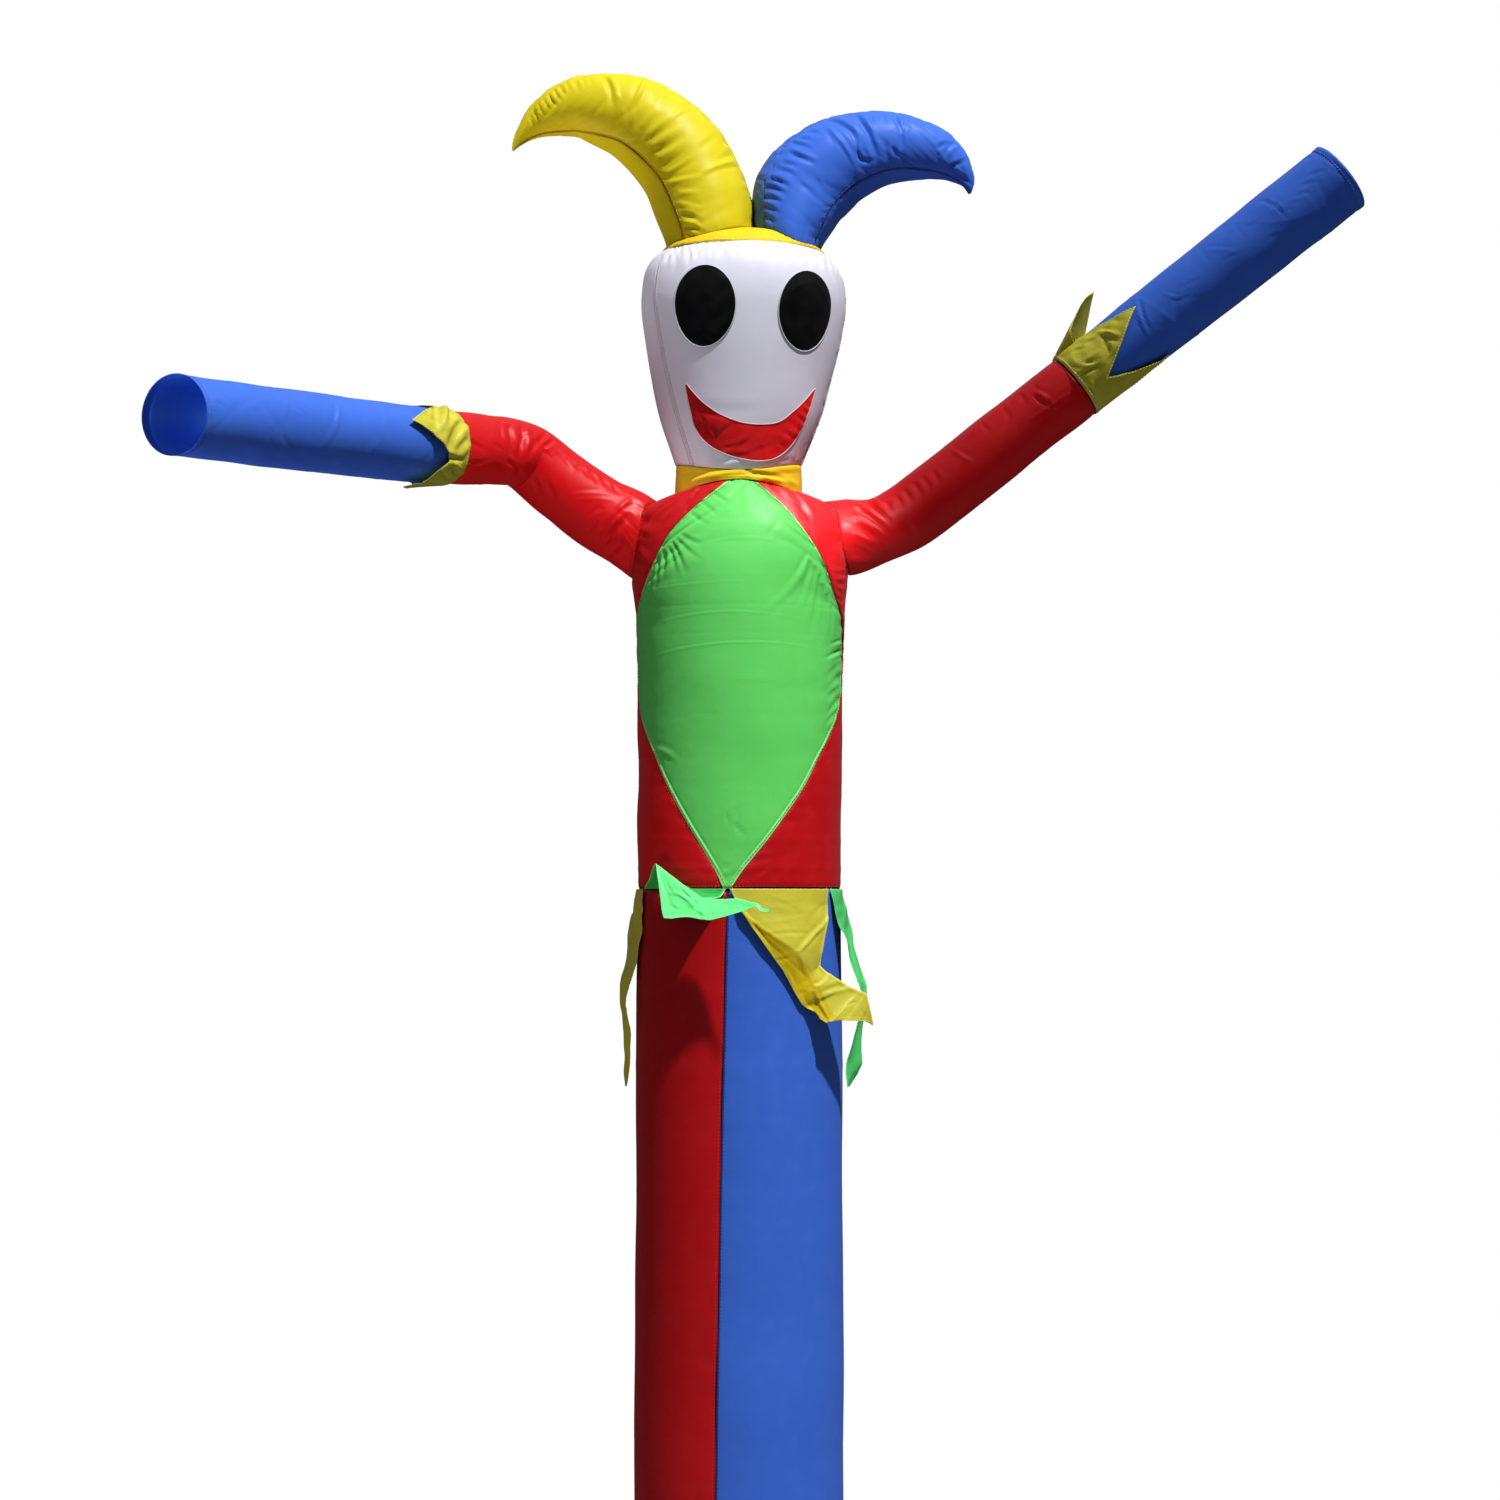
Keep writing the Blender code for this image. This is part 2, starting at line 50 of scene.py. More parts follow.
AXIS = np.array([-70.1, 198.6, 0.0])  # where the leg tube's axis meets the floor

CAMERA_AT = (14.49, 4492.75, 1781.2)  # x, forward, height
CAMERA_PITCH = 92.862
CAMERA_LENS = 74.4
CAMERA_CLIP = (0.05, 60)  # metres


def place(x, forward, height):
    """Points in the part's frame, in millimetres, from the tables' x, forward and height."""
    return np.stack(np.broadcast_arrays(x, -np.asarray(forward), height), -1) + AXIS


def metres(*at):
    """One place in the part's frame, in metres."""
    return Vector(place(*at)) * MM


def put(name, data):
    """A new object in the scene."""
    made = bpy.data.objects.new(name, data)
    bpy.context.scene.collection.objects.link(made)
    return made


def camera():
    made = put("front_camera", bpy.data.cameras.new("front_camera"))
    made.data.lens = CAMERA_LENS
    made.data.clip_start, made.data.clip_end = CAMERA_CLIP
    made.location = metres(*CAMERA_AT)
    made.rotation_euler = (math.radians(CAMERA_PITCH), 0, 0)
    bpy.context.scene.camera = made


camera()
bpy.context.scene.view_settings.view_transform = "Standard"  # keeps the nylon's strong colours

BACK_SEAM = 180  # angle round the body
ARM_SEAM = 180  # angle round an arm of its lengthwise seam
ARM_COLUMNS = 90  # of points round an arm
ARMHOLE_HEIGHT = 2320  # of its middle
ROOT_CLEAR = 1.9  # from the leg to a pennant's middle where it is sewn into the waist seam
FLAG_CLEAR = 4.6  # and where it hangs
ROOT_RISE = 3.0  # of a pennant's edge in the waist seam

# height, centre_x, half_width, half_depth, lift (how far front and back stand above the sides),
# turn (angle of the seam between the red and the blue half)
LEG = [
    (0, 0, 150, 150, 0, -19),
    (480, 0, 150, 150, 0, -16),
    (930, -1, 150, 150, 0, -13),
    (1360, -1, 149, 149, 0, -10.5),
    (1640, -1, 148.5, 148.5, 0, -8),
    (1804, -1, 147, 147, 0, -6.5),
]

# height, centre_x, half_width, half_depth, lift, turn (middle of the bib), bib (its half angle)
TORSO = [
    (1804, -1, 147, 147, 0, -6.5, 2),
    (1831, -1, 147, 147, 0, -5.5, 8),
    (1870, -1, 147.5, 147.5, 0, -4, 19),
    (1909, -1, 148, 148, 0, -3.1, 30),
    (1948, 0, 148, 148, 0, -2.7, 41),
    (1990, 0, 148, 148, 0, -2.5, 52),
    (2024, 0, 148.5, 148.5, 0, -2.4, 63),
    (2066, 0, 148.5, 149, 0, -3, 77),
    (2107, 0, 149, 150, 0, -3, 87),
    (2150, 0, 150, 150, 0, -3, 90),
    (2194, 0, 151, 150, 0, -3, 81),
    (2221, -1, 153, 149, 1, -2, 67.5),
    (2248, -1, 157, 147, 2, -1, 57),
    (2273, -1, 160, 143, 4, -0.5, 49),
    (2304, -1, 161, 134, 9, -1, 38),
    (2328, -1, 159, 122, 13, 0, 28),
    (2348, -2, 151, 110, 16, 1.5, 19),
    (2363, -2, 130, 100, 18, 2.5, 13),
    (2371, -2, 93, 92, 18, 2.5, 11),
]

# height, centre_x, half_width, half_depth, lift
COLLAR = [
    (2371, -2, 93, 92, 18),
    (2384, -2, 92, 91, 9),
    (2404, -2, 91, 90, -8),
    (2419, -2, 92, 91, -16),
]

# height, centre_x, half_width, half_depth, lift, left and right (angles of the face panel's seams)
HEAD = [
    (2419, -2, 92, 91, -16, -46, 84),
    (2442, -1, 100, 98, -12, -48, 85),
    (2488, 1, 116.5, 113, -5, -52, 86),
    (2538, 2, 129, 125, 0, -55, 87),
    (2597, 4, 141.5, 137, 0, -57, 88),
    (2650, 5, 149.5, 144, 0, -58, 88),
    (2690, 5, 146.5, 141, 0, -58, 88),
    (2713, 3, 136.5, 132, 0, -58, 88),
    (2728, 3, 123.5, 120, 0, -58, 88),
]

# height, centre_x, half_width, half_depth, lift
CAP = [
    (2728, 3, 123.5, 120, 0),
    (2739, 3, 111, 108, 0),
    (2749, 3, 93, 91, 0),
    (2757, 3, 68, 66, 0),
    (2762, 3, 38, 37, 0),
    (2764, 3, 4, 4, 0),
]
CROWN = [row[:5] for row in HEAD] + CAP[1:]  # head and cap as one outline

# x, height, half_width, half_depth, gusset (half angle of the inner gusset), ridge (angle of the
# seam along the back of the curve, from the middle of that back towards the front)
HORN = {
    "yellow": [
        (-44, 2712, 63, 90, 52, 0),
        (-45, 2756, 65, 92, 52, 0),
        (-56, 2806, 70, 86, 50, 0),
        (-73, 2850, 71, 78, 48, 0),
        (-95, 2882, 70, 72, 46, 0),
        (-122, 2910, 67.5, 68, 43, 0),
        (-156, 2932, 62.5, 64, 40, 0),
        (-196, 2945, 55, 57, 33, 0),
        (-234, 2949, 46.5, 48, 25, 0),
        (-266, 2942, 37, 38, 20, 0),
        (-292, 2930, 27, 27, 20, 0),
        (-312, 2914, 16, 17, 20, 0),
        (-326, 2898, 8, 8, 20, 0),
        (-333, 2886, 2.5, 2.5, 20, 0),
    ],
    "blue": [
        (71, 2712, 46, 88, 32, 42),
        (72, 2750, 49, 88, 34, 42),
        (82, 2791, 61, 82, 40, 42),
        (94, 2821, 66.5, 76, 40, 36),
        (114, 2846, 68, 71, 40, 26),
        (138, 2866, 66, 67, 40, 12),
        (170, 2880, 61.5, 62, 40, 0),
        (208, 2888, 54, 56, 40, 0),
        (246, 2888, 47, 49, 38, 0),
        (280, 2881, 40, 41, 36, 0),
        (306, 2868, 30, 31, 34, 0),
        (323, 2853, 20, 21, 30, 0),
        (333, 2838, 11, 11, 30, 0),
        (336, 2822, 2.5, 2.5, 30, 0),
    ],
}
HORN_LEAN = {"yellow": -1, "blue": 1}  # the side towards which it curves
HORN_BULGE = {  # how far the outer side of a horn's curve swells, by the distance from its base
    "yellow": [(0, 3), (60, 3), (110, 0)],
    "blue": [(0, 4), (40, 6), (80, 8), (120, 6), (170, 0.5), (420, 0.5)],
}

# x, forward, height, radius, pinch (how far the cloth folds in at a bend: above if more than 0, else below)
ARM = {
    "left": [
        (-100, -4, 2280, 57, 0),
        (-156, 0, 2325, 57, 0),
        (-205, 5, 2351, 53, 0),
        (-262, 15, 2391.5, 51, 0),
        (-309, 30, 2425, 50.5, -7),
        (-338, 60, 2431, 50.5, -5),
        (-418, 151, 2425.3, 52.2, 0),
        (-567, 330, 2418, 52.5, 0),
        (-728, 550, 2408.7, 51.2, 0),
    ],
    "right": [
        (96, 0, 2311, 55, 0),
        (160, 0, 2316, 55, 0),
        (204, 0, 2327, 49, 3),
        (241, 0, 2345, 50, 3),
        (271, 0, 2365, 49.5, 0),
        (379, 0, 2450.5, 49, 0),
        (488, 0, 2537, 49, 0),
        (673, 0, 2683, 52, 0),
        (878, 0, 2845.3, 54, 0),
    ],
}
CUFF_ROW = 6  # row of either arm where the sleeve ends and the forearm and cuff begin
ARM_SEED = {"left": 201, "right": 211}
GATHERED = {"left": 1.0, "right": 0.3}  # how much of its gathers the armhole has
SLANT = {"left": 7, "right": 0}  # how far a forearm's mouth is cut back on its front

# tip (angle round the arm), length, stand_off (of the tip from the forearm), hollow (degrees, of the edge
# before it)
CUFF = {
    "left": [(21, 112, 4, 8), (122, 92, 2, 0), (198, 110, 6, 0), (284, 96, 12, 0)],
    "right": [(-36, 134, 2, 0), (66, 137, 2, 4), (157, 120, 5, 0), (244, 119, 54, 0)],
}
CUFF_VALLEY = {"left": 63, "right": 24}  # angle of the valley after the first point
CUFF_BAND = 38  # from the cuff's seam to the bottom of a valley
CUFF_LIFT = 2.9  # from a forearm to the outside of the cuff on it

EYE = {"left": (-22.5, 2631, 18.5, 58), "right": (39, 2627.5, 19, 57)}  # angle, height, half_angle, half_height
FACE_AXIS = 4  # x of the head's axis
MOUTH_ANGLE = 10
# across (angle from the mouth's middle), low, high (heights of the two edges)
MOUTH = [
    (-49, 2521, 2525),
    (-47.5, 2490, 2524),
    (-44, 2463, 2515),
    (-36, 2448, 2499),
    (-24, 2438, 2484),
    (-8, 2431, 2474),
    (8, 2428, 2472),
    (20, 2429, 2476),
    (30, 2436, 2490),
    (37, 2447, 2502),
    (42, 2464, 2512),
    (45.5, 2490, 2520),
    (48, 2520, 2524),
]

# A row for each fold: left_x, left_forward, left_height, right_x, right_forward, right_height.
# The first row is sewn into the waist seam.
PENNANT = {
    "green_front": [
        (-134, 60, 1801, -19, 146, 1801),
        (-127, 90, 1822, -27, 156, 1792),
        (-118, 128, 1840, -52, 170, 1788),
        (-112, 148, 1798, -47, 174, 1788),
        (-105, 162, 1762, -27, 186, 1789),
        (-73, 184, 1764, -12, 198, 1790),
        (-39, 205, 1759, 2, 209, 1789),
        (1, 222, 1771, 12, 218, 1786),
        (22, 231, 1778, 24, 228, 1783),
        (28, 234, 1772, 31, 232, 1776),
        (43, 238, 1770, 40, 237, 1776),
    ],
    "yellow_front": [
        (-14, 147, 1801, 125, 77, 1801),
        (3, 156, 1770, 125, 88, 1767),
        (33, 151, 1726, 116, 100, 1726),
        (61, 140, 1687, 111, 106, 1693),
        (85, 124, 1642, 146, 102, 1670),
        (116, 104, 1621, 167, 98, 1661),
        (149, 99, 1619, 179, 95, 1656),
        (176, 95, 1617, 184, 93, 1635),
        (188, 91, 1611, 188, 91, 1616),
    ],
    "yellow_side": [
        (-117, -89, 1801, -136, 56, 1801),
        (-160, -76, 1768, -140, 62, 1767),
        (-163, -62, 1742, -140, 62, 1743),
        (-167, -50, 1704, -146, 50, 1702),
        (-173, -38, 1664, -159, 36, 1666),
        (-174, -30, 1635, -163, 26, 1636),
        (-169, -20, 1598, -158, 16, 1598),
        (-166, -12, 1566, -158, 9, 1569),
        (-166, -7, 1540, -159, 5, 1542),
        (-164, -2, 1520, -162, 2, 1520),
    ],
    "green_side": [
        (128, 73, 1801, 127, -75, 1801),
        (137, 69, 1771, 156, -64, 1777),
        (143, 63, 1747, 161, -54, 1747),
        (153, 56, 1725, 166, -45, 1724),
        (159, 50, 1701, 173, -38, 1701),
        (168, 40, 1669, 181, -30, 1669),
        (174, 32, 1640, 183, -26, 1640),
        (169, 25, 1608, 177, -22, 1606),
        (160, 18, 1575, 177, -18, 1576),
        (154, 12, 1553, 177, -13, 1552),
        (152, 8, 1537, 168, -9, 1536),
        (153, 4, 1519, 156, -4, 1521),
    ],
    "yellow_back": [
        (125, -78, 1801, 6, -147, 1801),
        (124, -90, 1762, 10, -156, 1764),
        (118, -102, 1720, 16, -164, 1724),
        (106, -112, 1676, 22, -166, 1682),
        (94, -124, 1634, 30, -162, 1638),
        (82, -138, 1588, 42, -164, 1592),
        (66, -154, 1540, 56, -164, 1542),
        (62, -163, 1515, 60, -166, 1515),
    ],
    "green_back": [
        (2, -147, 1801, -115, -92, 1801),
        (-4, -156, 1766, -116, -100, 1768),
        (-12, -166, 1728, -112, -108, 1732),
        (-20, -172, 1690, -104, -116, 1692),
        (-26, -168, 1646, -90, -130, 1650),
        (-34, -164, 1600, -74, -146, 1602),
        (-44, -166, 1552, -60, -158, 1554),
        (-50, -170, 1520, -53, -168, 1520),
    ],
}
# Across the yellow pennant from its left edge: for each row, how wide the strip is that leans away, which also gets
# the painted shade of the deep tone.
LEANING = [(0.6, 0), (1, 4), (1.4, 17), (2, 33), (3, 40), (4, 34), (4.7, 19), (5.3, 9), (5.8, 0)]
# Where one layer of a pennant lies over another: a line of x and height, and how far the right side stands up.
GREEN_LAYERS = [
    ([(-89, 1798), (-70, 1785), (-62, 1773), (-53, 1769), (-51, 1759)], 1.5),
    ([(-119, 1842), (-112, 1816), (-102, 1791), (-96, 1760)], -1.2),
]
YELLOW_LAYERS = [
    ([(127, 1767), (101, 1742), (75, 1716), (82, 1704), (101, 1665), (109, 1642), (121, 1618)], 2.0),
    ([(101, 1665), (116, 1674), (122, 1681)], -1.5),
]

SEWN_AT = 4  # a row of stitches from its edge
STITCH_LIFT = 0.35  # of the thread's middle from the cloth
BORDER_RADIUS = 0.7  # of the satin stitches round what is on the face
STITCH = {"Pitch": 0.005, "Stitch Length": 0.0041, "Thread": 0.0011}  # metres
FLOOR_RADIUS, FLOOR_GAP = 3.0, 0.001  # metres; the gap is under the figure
AMBIENT = (0.03, 0.4)  # of the studio at the horizon and overhead
AIM_HEIGHT = 1700  # of the place that the lamps aim at, on the figure's axis

RED_TINT, BLUE_TINT = (1, 0.06, 0.08), (0.1, 0.25, 1)
YELLOW_HORN = ["horn_yellow_inner", "horn_yellow_front", "horn_yellow_back"]
BLUE_HORN = ["horn_blue_front", "horn_blue_back", "horn_blue_inner"]
FOREARMS = ["forearm_blue_left", "forearm_blue_right"]
RAISED_ARM = ["sleeve_red_right", "forearm_blue_right", "cuff_yellow_right"]
PALE_HEAD = ["face_white", "head_back_white"]
# Lamps: turn from the front towards +X, rise, distance and size in metres, watts, tint, the pieces that it lights
# (None: those without a key of their own; none listed: all), and whether it shows in their gloss. The keys are
# one sun, from the direction that suits each; the left forearm's is from where none of it enters the mouth. The
# fills are the sky, and those named through are light that reaches the shaded sides through thin pale cloth.
LAMPS = {
    "key": (33, 60, 12.0, 0.5, 2250, (1, 1, 1), None, True),
    "key_on_arm": (72, 62, 12.0, 0.5, 1720, (1, 1, 1), RAISED_ARM, True),
    "key_on_left": (56, 60, 12.0, 0.5, 2250, (1, 1, 1), ["forearm_blue_left"], True),
    "key_on_floor": (33, 60, 12.0, 0.5, 800, (1, 1, 1), ["floor"], True),
    "through_yellow": (-75, -28, 2.6, 1.4, 88, (1, 0.88, 0.35), YELLOW_HORN, True),
    "through_olive": (-75, -28, 2.6, 1.4, 7, (1, 0.8, 0.5), ["pennant_yellow_side", "cuff_yellow_right"], True),
    "through_white": (-70, 0, 2.6, 1.4, 32, (1, 0.97, 0.98), [*PALE_HEAD, "collar_yellow", "forearm_blue_left"],
                      True),
    "through_green": (-20, -10, 2.6, 1.4, 12, (1, 1, 0.95), ["pennant_green_front"], True),
    "through_red_left": (-20, -35, 3.0, 1.6, 95, RED_TINT, ["sleeve_red_left"], True),
    "through_red_right": (-20, -35, 3.0, 1.6, 45, RED_TINT, ["sleeve_red_right", "torso_red_left"], True),
    "through_blue": (-50, -25, 3.0, 1.6, 22, BLUE_TINT, [*FOREARMS, *BLUE_HORN], True),
    "fill_on_sleeve": (18, 22, 12.0, 1.0, 210, (1, 1, 1), ["sleeve_red_left"], False),
    "fill_on_body": (-25, 20, 9.0, 4.0, 62, (1, 1, 1), ["torso_red_left", "bib_green", *PALE_HEAD], False),
    "fill": (-35, 12, 9.0, 4.0, 12, (1, 1, 1), [], True),
}
MOUTH_LIGHT = (0.36, 0.06, 0.46, (0.4, 1.0, 1.0))  # inside the left forearm: metres from its end, size, watts, tint
SHOULDER_LIGHT = (0.12, 0.43)  # close by the right shoulder: size in metres, watts
SHOULDER_LAMP_AT = (125, 290, 2480)
SHOULDER = (88, 70, 2345)  # where it points
SHOULDER_SPREAD = 56  # how wide it shines
FOLD_DEPTH = 1.5  # of the depths in the tables of folds

# Each nylon: the slot it stands for, its dye, the shade that the dye wanders to, its faded tone and its tone on a
# seam; deep is painted light, its tone where the deep attribute says so (a darker tone for cloth in shade, or a
# deeper gold for cloth lit through from behind), and crumple how creased it is.
NYLON = {
    "red": ("red", (0.47, 0.004, 0.007), (0.42, 0.003, 0.005), (0.54, 0.010, 0.014), (0.30, 0.002, 0.004),
            {"specular": 0.2}),
    "blue": ("blue", (0.042, 0.132, 0.57), (0.035, 0.11, 0.51), (0.065, 0.17, 0.62), (0.014, 0.04, 0.24),
             {"specular": 0.09}),
    # The mouth's scarlet is its own red, made brighter than the dye alone as painted light, because the mouth tilts
    # down, away from the high key lamp.
    "scarlet_and_painted_light": ("red", (0.80, 0.013, 0.017), (0.72, 0.010, 0.013), (0.84, 0.02, 0.025), (0.4, 0.004, 0.006), {}),
    "bright_yellow": ("yellow", (0.58, 0.49, 0.012), (0.53, 0.44, 0.009), (0.64, 0.56, 0.03), (0.36, 0.17, 0.002),
                      {"specular": 0.1}),
    "mustard_yellow": ("yellow", (0.50, 0.46, 0.04), (0.44, 0.40, 0.032), (0.56, 0.53, 0.07), (0.64, 0.57, 0.11),
                       {"crumple": 0.25, "deep": (0.60, 0.44, 0.006)}),
    "green": ("green", (0.12, 0.62, 0.12), (0.10, 0.55, 0.10), (0.17, 0.68, 0.18), (0.34, 0.80, 0.26), {}),
    "light_green": ("green", (0.15, 0.84, 0.25), (0.12, 0.76, 0.21), (0.2, 0.87, 0.31), (0.19, 0.87, 0.29),
                    {"crumple": 0.25, "deep": (0.03, 0.36, 0.07)}),
    "white": ("white", (0.61, 0.60, 0.69), (0.56, 0.55, 0.645), (0.68, 0.67, 0.75), (0.54, 0.50, 0.58), {}),
    "amber_yellow": ("yellow", (0.70, 0.49, 0.012), (0.64, 0.43, 0.009), (0.76, 0.56, 0.03), (0.50, 0.30, 0.01),
                     {}),
    "black": ("black", (0.002, 0.002, 0.002), (0.0015, 0.0015, 0.0015), (0.005, 0.005, 0.006), (0.01, 0.01, 0.01),
              {"roughness": 0.36, "specular": 0.22}),
}
NYLON_THREAD = 0.00115  # metres from one thread of the weave to the next
THREAD = {
    "red": (0.62, 0.04, 0.04),
    "blue": (0.08, 0.2, 0.62),
    "yellow": (0.85, 0.75, 0.15),
    "green": (0.2, 0.72, 0.24),
    "white": (0.8, 0.78, 0.84),
    "pale": (0.62, 0.74, 0.8),
    "rose": (0.8, 0.55, 0.6),
}

